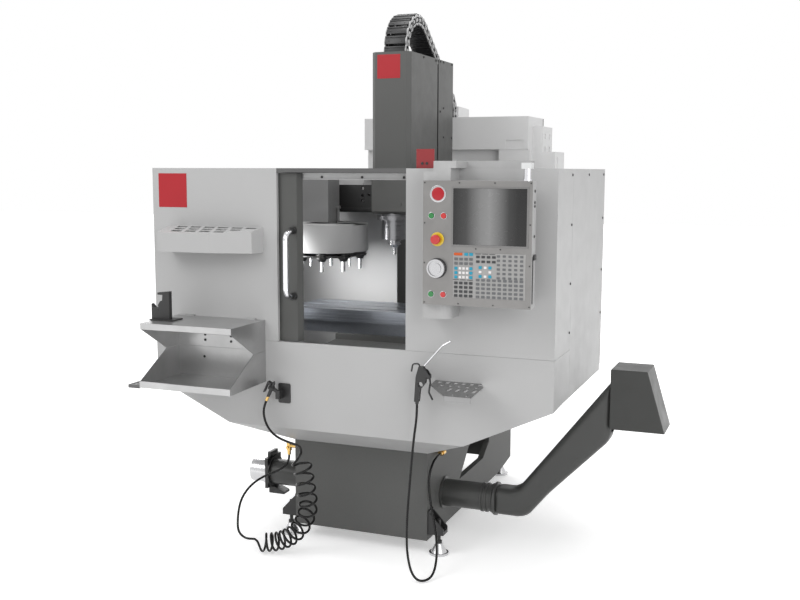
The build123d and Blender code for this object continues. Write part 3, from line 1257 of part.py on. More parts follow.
nodes = {
    "base_casting": base_casting,
    "levelling_feet": levelling_feet,
    "column_casting": column_casting,
    "column_cover": column_cover,
    "chip_pan": chip_pan,
    "front_apron": front_apron,
    "front_left_panel": lambda: front_panel(-1),
    "front_right_panel": lambda: front_panel(1),
    "enclosure_walls": lambda: Compound([*side_panels().solids(), back_panel()]),
    "door_header": door_header,
    "collet_rack": collet_rack,
    "tool_tray": lambda: Compound([tray_shelf(), tray_bin()]),
    "holder_stand": holder_stand,
    "tool_shelf": tool_shelf,
    "nozzle_holder": nozzle_holder,
    "auger_tube": auger_tube,
    "auger_motor": auger_motor,
    "chip_chute": lambda: Compound([chip_chute(), chute_hood()]),
    "control_cabinet": control_cabinet,
    "pendant_beam": pendant_beam,
    "air_fittings": air_fittings,
    "changer_beam": changer_beam,
    "door_frame": door_frame,
    "door_window": door_window,
    "door_handle": door_handle,
    "saddle": lambda: Compound([saddle(), y_way_cover()]),
    "table": table,
    "z_screw": z_screw,
    "head_casting": head_casting,
    "spindle_housing": spindle_housing,
    "spindle_motor": spindle_motor,
    "head_cover": head_cover,
    "spindle_shaft": spindle_shaft,
    "spindle_tool": spindle_tool,
    "changer_housing": changer_housing,
    "changer_cover": changer_cover,
    "changer_shutter": changer_shutter,
    "carousel_disc": carousel_disc,
    "carousel_tools": carousel_tools,
    "pendant_case": pendant_case,
    "pendant_screen": lambda: screen_box(GAP),
    "pendant_keypad": lambda: keypad_box(GAP),
    "status_lamp": status_lamp,
    "power_on": lambda: push_button("power_on"),
    "power_off": lambda: push_button("power_off"),
    "cycle_start": lambda: push_button("cycle_start"),
    "feed_hold": lambda: push_button("feed_hold"),
    "estop_button": estop_button,
    "jog_handle": jog_handle,
    "cabinet_door": cabinet_door,
    "auger_screw": auger_screw,
    "air_gun": air_gun,
    "air_gun_lever": air_gun_lever,
    "blow_nozzle": blow_nozzle,
    "nozzle_lever": nozzle_lever,
    "hose_lead": hose_lead,
    "hose_coil": hose_coil,
    "hose_tail": hose_tail,
    "gun_hose": gun_hose,
    "cable_chain": cable_chain,
}
on_hoses = ("hose_lead", "hose_coil", "hose_tail", "gun_hose")

shapes = {name: make() for name, make in nodes.items()}
box = Compound([shape for name, shape in shapes.items() if name not in on_hoses]).bounding_box()
shift = (-(box.min.X + box.max.X) / 2, -(box.min.Y + box.max.Y) / 2, -box.min.Z)

if __name__ == "__main__":
    os.makedirs("parts", exist_ok=True)
    for name, shape in shapes.items():
        export_step(Pos(*shift) * shape, "parts/" + name + ".step")
    print("size", box.size, "shift", shift, "nodes", len(shapes))
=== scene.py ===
import math
import bpy
from mathutils import Matrix, Vector


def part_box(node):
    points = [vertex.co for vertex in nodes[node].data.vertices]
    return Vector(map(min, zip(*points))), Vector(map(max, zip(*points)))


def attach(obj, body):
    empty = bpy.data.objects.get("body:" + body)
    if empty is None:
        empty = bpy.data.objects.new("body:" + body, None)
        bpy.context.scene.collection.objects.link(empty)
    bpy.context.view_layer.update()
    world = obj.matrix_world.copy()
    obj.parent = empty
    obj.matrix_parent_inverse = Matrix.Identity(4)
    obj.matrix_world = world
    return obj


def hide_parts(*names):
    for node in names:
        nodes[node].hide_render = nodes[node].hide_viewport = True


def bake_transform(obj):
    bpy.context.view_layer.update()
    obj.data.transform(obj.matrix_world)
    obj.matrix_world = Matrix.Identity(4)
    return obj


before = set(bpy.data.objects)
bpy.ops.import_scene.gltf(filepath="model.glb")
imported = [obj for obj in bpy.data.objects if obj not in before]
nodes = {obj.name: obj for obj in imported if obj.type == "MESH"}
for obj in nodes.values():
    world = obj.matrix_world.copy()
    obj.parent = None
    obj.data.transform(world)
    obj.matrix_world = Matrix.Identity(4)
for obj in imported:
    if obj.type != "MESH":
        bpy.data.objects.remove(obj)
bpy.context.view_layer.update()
print("stage: frame loaded")

# Places are in millimetres from the middle of the machine's front sheet, at the floor
apronLow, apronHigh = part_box("front_apron")
machineOrigin = Vector(((apronLow.x + apronHigh.x) / 2, apronLow.y, 0))


def mm(x, y, z):
    return machineOrigin + Vector((x, y, z)) / 1000


# Small helpers for modelling

def deselectAll():
    if bpy.context.object and bpy.context.object.mode != "OBJECT":
        bpy.ops.object.mode_set(mode="OBJECT")
    bpy.ops.object.select_all(action="DESELECT")


def makeActive(obj):
    deselectAll()
    obj.select_set(True)
    bpy.context.view_layer.objects.active = obj


def applyPlace(obj):
    makeActive(obj)
    bpy.ops.object.transform_apply(location=True, rotation=True, scale=True)


def roundEdges(obj, width):
    makeActive(obj)
    bevel = obj.modifiers.new("edges", "BEVEL")
    bevel.width = width / 1000
    bevel.segments = 2
    bevel.limit_method = "ANGLE"
    bpy.ops.object.modifier_apply(modifier=bevel.name)


def smoothByAngle(obj, degrees=35):
    makeActive(obj)
    bpy.ops.object.shade_smooth_by_angle(angle=math.radians(degrees))


def plainBlock(low, high):
    deselectAll()
    a, b = mm(*low), mm(*high)
    bpy.ops.mesh.primitive_cube_add(size=1, location=(a + b) / 2, scale=b - a)
    block = bpy.context.object
    applyPlace(block)
    return block


def addBlock(low, high, edge):
    block = plainBlock(low, high)
    roundEdges(block, edge)
    return block


def addRod(start, end, radius, edge, sides=32):
    deselectAll()
    a, b = mm(*start), mm(*end)
    bpy.ops.mesh.primitive_cylinder_add(vertices=sides, radius=radius / 1000, depth=(b - a).length,
                                        location=(a + b) / 2)
    rod = bpy.context.object
    rod.rotation_euler = (b - a).to_track_quat("Z", "Y").to_euler()
    applyPlace(rod)
    roundEdges(rod, edge)
    smoothByAngle(rod)
    return rod


def addRing(centre, axis, radius, thickness, squash):
    deselectAll()
    bpy.ops.mesh.primitive_torus_add(major_radius=radius / 1000, minor_radius=thickness / 1000,
                                     major_segments=48, minor_segments=16, location=mm(*centre))
    ring = bpy.context.object
    ring.scale = (1, 1, squash)
    ring.rotation_euler = Vector(axis).to_track_quat("Z", "Y").to_euler()
    applyPlace(ring)
    makeActive(ring)
    bpy.ops.object.shade_smooth()
    return ring


def clearSelection(obj):
    makeActive(obj)
    for item in (*obj.data.polygons, *obj.data.edges, *obj.data.vertices):
        item.select = False


def editBy(kind):
    bpy.ops.object.mode_set(mode="EDIT")
    bpy.ops.mesh.select_mode(type=kind)


def insetFacing(obj, direction, thickness, depth):
    # Insets every face that looks one way, and sinks it
    clearSelection(obj)
    way = Vector(direction)
    for face in obj.data.polygons:
        face.select = face.normal.dot(way) > 0.98
    editBy("FACE")
    bpy.ops.mesh.inset(thickness=thickness / 1000, depth=-depth / 1000)
    bpy.ops.object.mode_set(mode="OBJECT")


def copyPiece(obj, offset=(0, 0, 0), turn=None):
    twin = obj.copy()
    twin.data = obj.data.copy()
    bpy.context.scene.collection.objects.link(twin)
    shift = Matrix.Translation(Vector(offset) / 1000)
    twin.data.transform(shift @ turn if turn else shift)
    return twin


def joinPieces(pieces):
    deselectAll()
    for piece in pieces:
        piece.select_set(True)
    bpy.context.view_layer.objects.active = pieces[0]
    bpy.ops.object.join()
    return bpy.context.object


def finishPiece(obj, name, material, body, standsFor=()):
    obj.name = name
    obj.data.name = name
    obj.data.materials.clear()
    obj.data.materials.append(material)
    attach(obj, body)
    if standsFor:
        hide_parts(*standsFor)
    return obj


# Parts of materials

def startMaterial(name):
    material = bpy.data.materials.new(name)
    material.use_nodes = True
    tree = material.node_tree
    shader = tree.nodes["Principled BSDF"]
    coords = tree.nodes.new("ShaderNodeTexCoord")
    return material, tree, shader, coords


def addNoise(tree, coords, scale, detail=3, roughness=0.5, stretch=(1, 1, 1)):
    mapping = tree.nodes.new("ShaderNodeMapping")
    mapping.inputs["Scale"].default_value = stretch
    tree.links.new(coords.outputs["Object"], mapping.inputs["Vector"])
    noise = tree.nodes.new("ShaderNodeTexNoise")
    noise.inputs["Scale"].default_value = scale
    noise.inputs["Detail"].default_value = detail
    noise.inputs["Roughness"].default_value = roughness
    tree.links.new(mapping.outputs["Vector"], noise.inputs["Vector"])
    return noise.outputs["Fac"]


def addRange(tree, source, low, high, start=0.3, end=0.7):
    span = tree.nodes.new("ShaderNodeMapRange")
    span.inputs["From Min"].default_value = start
    span.inputs["From Max"].default_value = end
    span.inputs["To Min"].default_value = low
    span.inputs["To Max"].default_value = high
    tree.links.new(source, span.inputs["Value"])
    return span.outputs["Result"]


def addBump(tree, shader, height, strength, distance):
    bump = tree.nodes.new("ShaderNodeBump")
    bump.inputs["Strength"].default_value = strength
    bump.inputs["Distance"].default_value = distance
    tree.links.new(height, bump.inputs["Height"])
    tree.links.new(bump.outputs["Normal"], shader.inputs["Normal"])


def mixColours(tree, factor, first, second):
    mix = tree.nodes.new("ShaderNodeMix")
    mix.data_type = "RGBA"
    for socket, value in (("A", first), ("B", second)):
        if isinstance(value, tuple):
            mix.inputs[socket].default_value = (*value, 1)
        else:
            tree.links.new(value, mix.inputs[socket])
    tree.links.new(factor, mix.inputs["Factor"])
    return mix.outputs["Result"]


def mixNumbers(tree, factor, first, second):
    mix = tree.nodes.new("ShaderNodeMix")
    mix.inputs["A"].default_value = first
    mix.inputs["B"].default_value = second
    tree.links.new(factor, mix.inputs["Factor"])
    return mix.outputs["Result"]


def addMask(tree, coords, limits):
    # One inside all the limits, such as ("x", "<", 433), and nought outside
    split = tree.nodes.new("ShaderNodeSeparateXYZ")
    tree.links.new(coords.outputs["Object"], split.inputs["Vector"])
    product = None
    for axis, side, place in limits:
        test = tree.nodes.new("ShaderNodeMath")
        test.operation = "LESS_THAN" if side == "<" else "GREATER_THAN"
        point = mm(place, place, place)
        test.inputs[1].default_value = point["xyz".index(axis)]
        tree.links.new(split.outputs[axis.upper()], test.inputs[0])
        if product:
            both = tree.nodes.new("ShaderNodeMath")
            both.operation = "MULTIPLY"
            tree.links.new(product, both.inputs[0])
            tree.links.new(test.outputs["Value"], both.inputs[1])
            product = both.outputs["Value"]
        else:
            product = test.outputs["Value"]
    return product


# Finishes

def powderCoat(name, colour, roughness=0.42, peel=0.12, drift=0.04):
    material, tree, shader, coords = startMaterial(name)
    darker = tuple(c * (1 - drift) for c in colour)
    lighter = tuple(min(1, c * (1 + drift)) for c in colour)
    colours = mixColours(tree, addNoise(tree, coords, 3.5, 4), darker, lighter)
    tree.links.new(colours, shader.inputs["Base Color"])
    smudge = addNoise(tree, coords, 14, 5, 0.6)
    tree.links.new(addRange(tree, smudge, roughness - 0.05, roughness + 0.07), shader.inputs["Roughness"])
    addBump(tree, shader, addNoise(tree, coords, 420, 2), peel, 0.0006)
    shader.inputs["Specular IOR Level"].default_value = 0.45
    return material


def brushedMetal(name, colour, roughness=0.3, along=(1, 40, 40), scale=12, drift=0.12):
    material, tree, shader, coords = startMaterial(name)
    lines = addNoise(tree, coords, scale, 6, 0.6, along)
    darker = tuple(c * (1 - drift) for c in colour)
    tree.links.new(mixColours(tree, lines, darker, colour), shader.inputs["Base Color"])
    tree.links.new(addRange(tree, lines, roughness - 0.06, roughness + 0.1), shader.inputs["Roughness"])
    addBump(tree, shader, lines, 0.08, 0.0003)
    shader.inputs["Metallic"].default_value = 1.0
    return material


def roughCasting(name, colour):
    material, tree, shader, coords = startMaterial(name)
    dark = tuple(c * 0.88 for c in colour)
    tree.links.new(mixColours(tree, addNoise(tree, coords, 6, 5), dark, colour), shader.inputs["Base Color"])
    sand = addNoise(tree, coords, 160, 6, 0.65)
    addBump(tree, shader, sand, 0.35, 0.0012)
    tree.links.new(addRange(tree, sand, 0.5, 0.68), shader.inputs["Roughness"])
    return material


def mouldedPlastic(name, colour, roughness=0.45, grain=0.15, coat=0.0, specular=0.5):
    material, tree, shader, coords = startMaterial(name)
    patches = addNoise(tree, coords, 20, 3)
    dark = tuple(c * 0.94 for c in colour)
    tree.links.new(mixColours(tree, patches, dark, colour), shader.inputs["Base Color"])
    addBump(tree, shader, addNoise(tree, coords, 900, 2), grain, 0.0003)
    tree.links.new(addRange(tree, patches, roughness - 0.04, roughness + 0.06), shader.inputs["Roughness"])
    shader.inputs["Coat Weight"].default_value = coat
    shader.inputs["Specular IOR Level"].default_value = specular
    return material


def clearPane(name, colour):
    material, tree, shader, coords = startMaterial(name)
    wipe = addNoise(tree, coords, 5, 4)
    tree.links.new(addRange(tree, wipe, 0.03, 0.09), shader.inputs["Roughness"])
    shader.inputs["Base Color"].default_value = (*colour, 1)
    shader.inputs["Transmission Weight"].default_value = 0.9
    shader.inputs["IOR"].default_value = 1.3
    return material


def twoFinishes(name, main, other, limits):
    # main and other are (colour, roughness, metallic); other is used inside the limits
    material, tree, shader, coords = startMaterial(name)
    mask = addMask(tree, coords, limits)
    colour = mixColours(tree, mask, main[0], other[0])
    patches = addNoise(tree, coords, 9, 5, 0.6)
    shade = mixColours(tree, addRange(tree, patches, 0.0, 0.14), colour, (0.0, 0.0, 0.0))
    tree.links.new(shade, shader.inputs["Base Color"])
    tree.links.new(mixNumbers(tree, mask, main[1], other[1]), shader.inputs["Roughness"])
    tree.links.new(mixNumbers(tree, mask, main[2], other[2]), shader.inputs["Metallic"])
    addBump(tree, shader, addNoise(tree, coords, 380, 2), 0.1, 0.0005)
    return material


def paintedScreenReflection(name, sides):
    # A dark screen with a soft upright band across it: a painted reflection of a studio lamp, set by the
    # object's x
    material, tree, shader, coords = startMaterial(name)
    split = tree.nodes.new("ShaderNodeSeparateXYZ")
    tree.links.new(coords.outputs["Object"], split.inputs["Vector"])
    left, right = (mm(side, 0, 0).x for side in sides)
    place = addRange(tree, split.outputs["X"], 0, 1, left, right)
    ramp = tree.nodes.new("ShaderNodeValToRGB")
    stops = ramp.color_ramp.elements
    stops[0].color = (0.006, 0.006, 0.006, 1)
    stops[1].color = (0.002, 0.002, 0.002, 1)
    # Grey stops of the painted reflection band, across the screen's width
    reflectionBand = ((0.18, 0.04), (0.38, 0.2), (0.5, 0.24), (0.62, 0.15), (0.76, 0.03), (0.88, 0.004))
    for position, grey in reflectionBand:
        stop = stops.new(position)
        stop.color = (grey, grey, grey, 1)
    tree.links.new(place, ramp.inputs["Fac"])
    tree.links.new(ramp.outputs["Color"], shader.inputs["Base Color"])
    tree.links.new(addRange(tree, addNoise(tree, coords, 30, 3), 0.2, 0.3), shader.inputs["Roughness"])
    return material


# Each as colour, roughness and metallic
whiteCoat = ((0.46, 0.46, 0.46), 0.42, 0.0)
blackCoat = ((0.022, 0.022, 0.022), 0.42, 0.0)
silver = ((0.62, 0.62, 0.63), 0.25, 1.0)
polished = ((0.8, 0.8, 0.82), 0.1, 1.0)
brass = ((0.72, 0.47, 0.16), 0.22, 1.0)
redPaint = ((0.28, 0.02, 0.024), 0.4, 0.0)
lampWhite = ((0.75, 0.76, 0.76), 0.3, 0.0)
traySteel = ((0.46, 0.46, 0.46), 0.3, 0.75)
darkSteel = ((0.12, 0.12, 0.12), 0.35, 0.8)
caseSteel = ((0.24, 0.235, 0.23), 0.34, 0.85)
# Door header: the lower strip is white paint made brighter as a partly painted highlight; the dark grey above
# z 1768 is painted shadow on the fascia
headerWhiteAndHighlight = ((0.62, 0.62, 0.62), 0.4, 0.0)
headerPaintedShadow = ((0.1, 0.1, 0.1), 0.4, 0.0)

sheetWhite = powderCoat("sheetWhite", whiteCoat[0])
cabinetWhite = powderCoat("cabinetWhite", (0.72, 0.72, 0.72))
housingGrey = powderCoat("housingGrey", (0.2, 0.2, 0.2))
sheetGrey = powderCoat("sheetGrey", (0.085, 0.086, 0.083), 0.4)
darkSheet = powderCoat("darkSheet", (0.055, 0.056, 0.054), 0.36)
# Darker than darkSheet: painted shade on the chute's hood, whose faces turn from the lamps
hoodPaintedShade = powderCoat("hoodPaintedShade", (0.032, 0.033, 0.031), 0.38)
doorGrey = powderCoat("doorGrey", (0.075, 0.076, 0.073), 0.36)
castGrey = roughCasting("castGrey", (0.09, 0.091, 0.088))
blackPaint = powderCoat("blackPaint", blackCoat[0], 0.4)
signRed = powderCoat("signRed", (0.4, 0.006, 0.014), 0.35)
groundSteel = brushedMetal("groundSteel", (0.36, 0.38, 0.42), 0.3, (1, 60, 60), 30, 0.06)
turnedSteel = brushedMetal("turnedSteel", (0.4, 0.4, 0.41), 0.24, (1, 1, 60))
spindleSteel = brushedMetal("spindleSteel", (0.26, 0.26, 0.27), 0.3, (1, 1, 60))
faceSteel = brushedMetal("faceSteel", (0.2, 0.197, 0.195), 0.34, (60, 1, 1), 12, 0.08)
sheetSteel = brushedMetal("sheetSteel", (0.28, 0.28, 0.28), 0.32, (1, 30, 30))
turnedAlloy = brushedMetal("turnedAlloy", (0.7, 0.7, 0.72), 0.25, (60, 1, 1))
silverPlate = brushedMetal("silverPlate", (0.48, 0.48, 0.49), 0.2, (60, 1, 1), 14, 0.1)
brassBright = brushedMetal("brassBright", brass[0], 0.2, (1, 1, 30))
blackRubber = mouldedPlastic("blackRubber", (0.005, 0.005, 0.005), 0.22, 0.05, specular=0.25)
blackPlastic = mouldedPlastic("blackPlastic", (0.02, 0.02, 0.021), 0.38)
greyPlastic = mouldedPlastic("greyPlastic", (0.5, 0.5, 0.5), 0.42)
windowPane = clearPane("windowPane", (0.5, 0.52, 0.53))
redGloss = mouldedPlastic("redGloss", (0.55, 0.02, 0.02), 0.22, 0.05, 0.4)
greenGloss = mouldedPlastic("greenGloss", (0.01, 0.2, 0.04), 0.22, 0.05, 0.4)
yellowGloss = mouldedPlastic("yellowGloss", (0.72, 0.5, 0.02), 0.3, 0.05, 0.3)
keyPlate = mouldedPlastic("keyPlate", (0.36, 0.355, 0.35), 0.35, 0.05)

screenSides = (578, 885)

# Limits are places in millimetres, as mm takes them
finishes = {
    sheetWhite: ("front_apron", "front_left_panel", "front_right_panel", "enclosure_walls", "chip_pan",
                 "collet_rack", "changer_cover", "changer_shutter"),
    cabinetWhite: ("control_cabinet",),
    housingGrey: ("changer_housing",),
    sheetGrey: ("head_cover", "column_cover", "head_casting", "cabinet_door"),
    darkSheet: ("auger_tube", "chip_chute"),
    doorGrey: ("door_frame",),
    castGrey: ("base_casting", "column_casting", "saddle"),
    blackPaint: ("holder_stand", "nozzle_holder", "carousel_disc"),
    groundSteel: ("table",),
    turnedSteel: ("z_screw", "spindle_tool", "auger_screw"),
    spindleSteel: ("spindle_housing", "spindle_shaft"),
    sheetSteel: ("tool_shelf",),
    turnedAlloy: ("spindle_motor",),
    silverPlate: ("jog_handle",),
    brassBright: ("air_fittings",),
    blackPlastic: ("air_gun_lever", "nozzle_lever"),
    windowPane: ("door_window",),
    keyPlate: ("pendant_keypad",),
    redGloss: ("power_off", "feed_hold", "estop_button"),
    greenGloss: ("power_on", "cycle_start"),
    twoFinishes("footFinish", blackCoat, silver, [("z", "<", 54)]): ("levelling_feet",),
    twoFinishes("beamFinish", whiteCoat, redPaint, [("x", "<", 433.5), ("y", "<", 24.05),
                                                    ("z", ">", 1783)]): ("pendant_beam",),
    twoFinishes("handleFinish", polished, blackCoat, [("y", ">", -22)]): ("door_handle",),
    twoFinishes("toolFinish", blackCoat, silver, [("z", "<", 1327.5)]): ("carousel_tools",),
    twoFinishes("gunFinish", blackCoat, polished, [("z", ">", 953), ("x", ">", 424)]): ("air_gun",),
    twoFinishes("nozzleFinish", blackCoat, brass, [("z", "<", 748)]): ("blow_nozzle",),
    twoFinishes("lampFinish", lampWhite, polished, [("z", "<", 1787.5)]): ("status_lamp",),
    twoFinishes("motorFinish", blackCoat, silver, [("x", "<", -604.5)]): ("auger_motor",),
    twoFinishes("trayFinish", traySteel, darkSteel, [("x", "<", -848.6)]): ("tool_tray",),
    twoFinishes("changerBeamFinish", blackCoat, whiteCoat, [("z", ">", 1706.2)]): ("changer_beam",),
    twoFinishes("caseFinish", whiteCoat, caseSteel, [("y", "<", -149.5)]): ("pendant_case",),
    # Door header: painted shadow above z 1768, and white with a partly painted highlight below it
    twoFinishes("headerPaintedHighlightAndShadow", headerWhiteAndHighlight, headerPaintedShadow, [("z", ">", 1768)]): ("door_header",),
    # The pendant's screen carries a painted reflection band
    paintedScreenReflection("paintedScreenReflection", screenSides): ("pendant_screen",),
}
for material, members in finishes.items():
    for member in members:
        nodes[member].data.materials.clear()
        nodes[member].data.materials.append(material)
print("stage: finishes on the CAD nodes")

# Place in millimetres, angles in degrees, lens and sensor in millimetres, reach in metres
cameraView = {
    "place": (1920.85, -4127.18, 1780),
    "azimuth": 21.602,
    "down": 7.171,
    "roll": 0.149,
    "lens": 46.33,
    "sensor": 36,
    "reach": 60,
}


def makeCamera(view):
    bpy.ops.object.camera_add(location=mm(*view["place"]))
    camera = bpy.context.object
    camera.name = "photoCamera"
    camera.data.lens = view["lens"]
    camera.data.sensor_width = view["sensor"]
    camera.data.clip_end = view["reach"]
    azimuth = math.radians(view["azimuth"])
    down = math.radians(view["down"])
    level = math.cos(down)
    forward = Vector((-math.sin(azimuth) * level, math.cos(azimuth) * level, -math.sin(down)))
    turn = forward.to_track_quat("-Z", "Y").to_matrix().to_4x4()
    roll = Matrix.Rotation(math.radians(view["roll"]), 4, "Z")
    camera.matrix_world = Matrix.Translation(camera.location) @ turn @ roll
    bpy.context.scene.camera = camera


# Floor distances and size in metres, spread in degrees
studio = {
    "world": 0.55,
    "lamps": {
        "keyLamp": {"place": (-3200, -4200, 5200), "size": 3.5, "power": 140, "aim": (0, 400, 1000)},
        "fillLamp": {"place": (4600, -3400, 3000), "size": 3.5, "power": 105, "aim": (0, 400, 1200)},
        "topLamp": {"place": (300, 800, 5600), "size": 3.0, "power": 85, "aim": (0, 800, 1000)},
        "backLamp": {"place": (-2500, 5000, 3600), "size": 3.0, "power": 120, "aim": (0, 1000, 1200)},
        "workLamp": {"place": (-660, 340, 1290), "size": 0.3, "power": 2.6, "aim": (0, 950, 1130),
                     "spread": 85},
    },
    "floorSize": 60,
    "floorGlow": 0.4,
    "floorNear": 2.6,
    "floorFar": 5.5,
}


def addLamp(name, settings):
    bpy.ops.object.light_add(type="AREA", location=mm(*settings["place"]))
    lamp = bpy.context.object
    lamp.name = name
    lamp.data.size = settings["size"]
    lamp.data.energy = settings["power"]
    lamp.data.spread = math.radians(settings.get("spread", 180))
    aim = mm(*settings["aim"]) - lamp.location
    lamp.rotation_euler = aim.to_track_quat("-Z", "Y").to_euler()


def seenRays(tree):
    path = tree.nodes.new("ShaderNodeLightPath")
    seen = path.outputs["Is Camera Ray"]
    for ray in ("Is Glossy Ray", "Is Transmission Ray"):
        either = tree.nodes.new("ShaderNodeMath")
        either.operation = "MAXIMUM"
        tree.links.new(seen, either.inputs[0])
        tree.links.new(path.outputs[ray], either.inputs[1])
        seen = either.outputs["Value"]
    return seen


def makeWorld(settings):
    world = bpy.data.worlds.new("studioWorld")
    world.use_nodes = True
    bpy.context.scene.world = world
    tree = world.node_tree
    backdrop = tree.nodes["Background"]
    backdrop.inputs["Color"].default_value = (1, 1, 1, 1)
    strength = addRange(tree, seenRays(tree), settings["world"], 1.0, 0, 1)
    tree.links.new(strength, backdrop.inputs["Strength"])


def makeFloor(settings):
    bpy.ops.mesh.primitive_plane_add(size=settings["floorSize"], location=(0, 0, -0.0005))
    floor = bpy.context.object
    floor.name = "studioFloor"
    material, tree, shader, coords = startMaterial("studioFloor")
    shader.inputs["Base Color"].default_value = (0.92, 0.92, 0.92, 1)
    shader.inputs["Roughness"].default_value = 0.8
    shader.inputs["Specular IOR Level"].default_value = 0.1
    addBump(tree, shader, addNoise(tree, coords, 60, 2), 0.02, 0.0005)
    reach = tree.nodes.new("ShaderNodeVectorMath")
    reach.operation = "LENGTH"
    tree.links.new(coords.outputs["Object"], reach.inputs[0])
    glow = addRange(tree, reach.outputs["Value"], settings["floorGlow"], 1.0, settings["floorNear"],
                    settings["floorFar"])
    shown = tree.nodes.new("ShaderNodeMath")
    shown.operation = "MULTIPLY"
    tree.links.new(glow, shown.inputs[0])
    tree.links.new(seenRays(tree), shown.inputs[1])
    shader.inputs["Emission Color"].default_value = (1, 1, 1, 1)
    tree.links.new(shown.outputs["Value"], shader.inputs["Emission Strength"])
    floor.data.materials.append(material)


makeCamera(cameraView)
makeWorld(studio)
for lampName, lampSettings in studio["lamps"].items():
    addLamp(lampName, lampSettings)
makeFloor(studio)
bpy.context.scene.view_settings.view_transform = "Standard"
print("stage: camera, lamps and floor")

# Route points in millimetres, every other size in metres, sides as directions
hoses = {
    "diameter": 0.011,
    "coilDiameter": 0.096,
    "lead": [(-356.4, -40, 729.7), (-371.6, -40, 697.1), (-368, -47, 655), (-346, -54, 608),
             (-304, -59, 572), (-250, -60, 553)],
    "coil": [(-210, -60, 508), (-172, -60, 479.5), (-157, -60, 407), (-148, -54, 330), (-144, -42, 255),
             (-172, -20, 185), (-212, -8, 122), (-264, -14, 78), (-318, -26, 56), (-370, -42, 50),
             (-418, -64, 50)],
    "tail": [(-452, -88, 74), (-496, -80, 98), (-518, -44, 152), (-530, 4, 220), (-520, 66, 268),
             (-490, 130, 300), (-448, 182, 316), (-412, 220, 334), (-390, 240, 366), (-390, 240, 400)],
    "gun": [(394, -70, 786), (394, -70, 728), (385, -82, 640), (381, -94, 550), (374, -100, 440),
            (366, -102, 330), (361, -102, 225), (362, -102, 142), (372, -104, 82), (388, -110, 40),
            (416, -115, 13), (446, -98, 9), (462, -56, 14), (463, -8, 46), (452, 38, 96), (432, 84, 146),
            (400, 138, 206), (370, 176, 268), (354, 196, 330), (350, 214, 388), (354, 250, 436),
            (362, 288, 456), (362, 328, 456)],
    "startSide": (0.6, 0, 0.8),
    "endSide": (0.295, -0.643, 0.707),
    "hangingPitch": 0.052,
    "lyingPitch": 0.027,
    "lyingFrom": 0.6,
    "lyingBlend": 0.15,
    "easeLength": 0.07,
    "pointsPerTurn": 16,
    "step": 0.002,
    "longestGap": 0.014,
    "curlyLength": 4.6,
    "gunLength": 1.49,
}


def splineCurve(name, points, radius):
    curve = bpy.data.curves.new(name, "CURVE")
    curve.dimensions = "3D"
    spline = curve.splines.new("NURBS")
    spline.points.add(len(points) - 1)
    for slot, point in zip(spline.points, points):
        slot.co = (*point, 1)
    spline.order_u = 3
    spline.use_endpoint_u = True
    spline.resolution_u = 6
    curve.bevel_depth = radius
    curve.bevel_resolution = 3
    curve.use_fill_caps = True
    obj = bpy.data.objects.new(name, curve)
    bpy.context.scene.collection.objects.link(obj)
    return obj


def routeLine(points):
    guide = splineCurve("routeGuide", points, 0)
    bpy.context.view_layer.update()
    mesh = bpy.data.meshes.new_from_object(guide.evaluated_get(bpy.context.evaluated_depsgraph_get()))
    line = [vertex.co.copy() for vertex in mesh.vertices]
    bpy.data.meshes.remove(mesh)
    bpy.data.objects.remove(guide)
    return line


def walkLine(line, step):
    # Even steps along the line, each with two directions square to it that don't twist
    lengths = [0]
    for before, after in zip(line, line[1:]):
        lengths.append(lengths[-1] + (after - before).length)
    count = int(lengths[-1] / step)
    side = Vector((0, 1, 0))
    index = 0
    stations = []
    for number in range(count + 1):
        walked = lengths[-1] * number / count
        while index < len(lengths) - 2 and lengths[index + 1] < walked:
            index += 1
        share = (walked - lengths[index]) / (lengths[index + 1] - lengths[index])
        along = (line[index + 1] - line[index]).normalized()
        side = (side - along * side.dot(along)).normalized()
        stations.append((walked, line[index].lerp(line[index + 1], share), side, along.cross(side)))
    return stations


def helixAround(line, settings):
    # Full width from the first point, the turning eased in and out so that no bend is sharp
    radius = (settings["coilDiameter"] - settings["diameter"]) / 2 - 0.001
    stations = walkLine(line, settings["step"])
    total = stations[-1][0]
    ends = []
    for station, key in ((stations[0], "startSide"), (stations[-1], "endSide")):
        way = Vector(settings[key])
        ends.append(math.atan2(way.dot(station[3]), way.dot(station[2])))
    phases = [0]
    for before, after in zip(stations, stations[1:]):
        walked = (before[0] + after[0]) / 2
        lying = min(1, max(0, (walked / total - settings["lyingFrom"]) / settings["lyingBlend"]))
        pitch = settings["hangingPitch"] * (1 - lying) + settings["lyingPitch"] * lying
        ease = min(1, walked / settings["easeLength"], (total - walked) / settings["easeLength"])
        ease = ease * ease * (3 - 2 * ease)
        phases.append(phases[-1] + 2 * math.pi * ease * (after[0] - before[0]) / pitch)
    wanted = ends[1] - ends[0]
    wanted += 2 * math.pi * round((phases[-1] - wanted) / (2 * math.pi))
    points = []
    lastPhase = lastWalked = -1
    for (walked, centre, side, other), phase in zip(stations, phases):
        turnEnough = phase - lastPhase >= 2 * math.pi / settings["pointsPerTurn"]
        farEnough = walked - lastWalked >= settings["longestGap"]
        if not points or turnEnough or farEnough or walked == total:
            angle = ends[0] + phase * wanted / phases[-1]
            points.append(centre + radius * (math.cos(angle) * side + math.sin(angle) * other))
            lastPhase = phase
            lastWalked = walked
    return points


def makeHoses(settings):
    radius = settings["diameter"] / 2
    lead = [mm(*point) for point in settings["lead"]]
    tail = [mm(*point) for point in settings["tail"]]
    turns = helixAround(routeLine([mm(*point) for point in settings["coil"]]), settings)
    curly = splineCurve("curlyHose", lead + turns + tail, radius)
    finishPiece(curly, "curlyHose", blackRubber, "machine", ("hose_lead", "hose_coil", "hose_tail"))
    gun = splineCurve("gunHose", [mm(*point) for point in settings["gun"]], radius)
    finishPiece(gun, "gunHose", blackRubber, "machine", ("gun_hose",))


makeHoses(hoses)
print("stage: hoses")

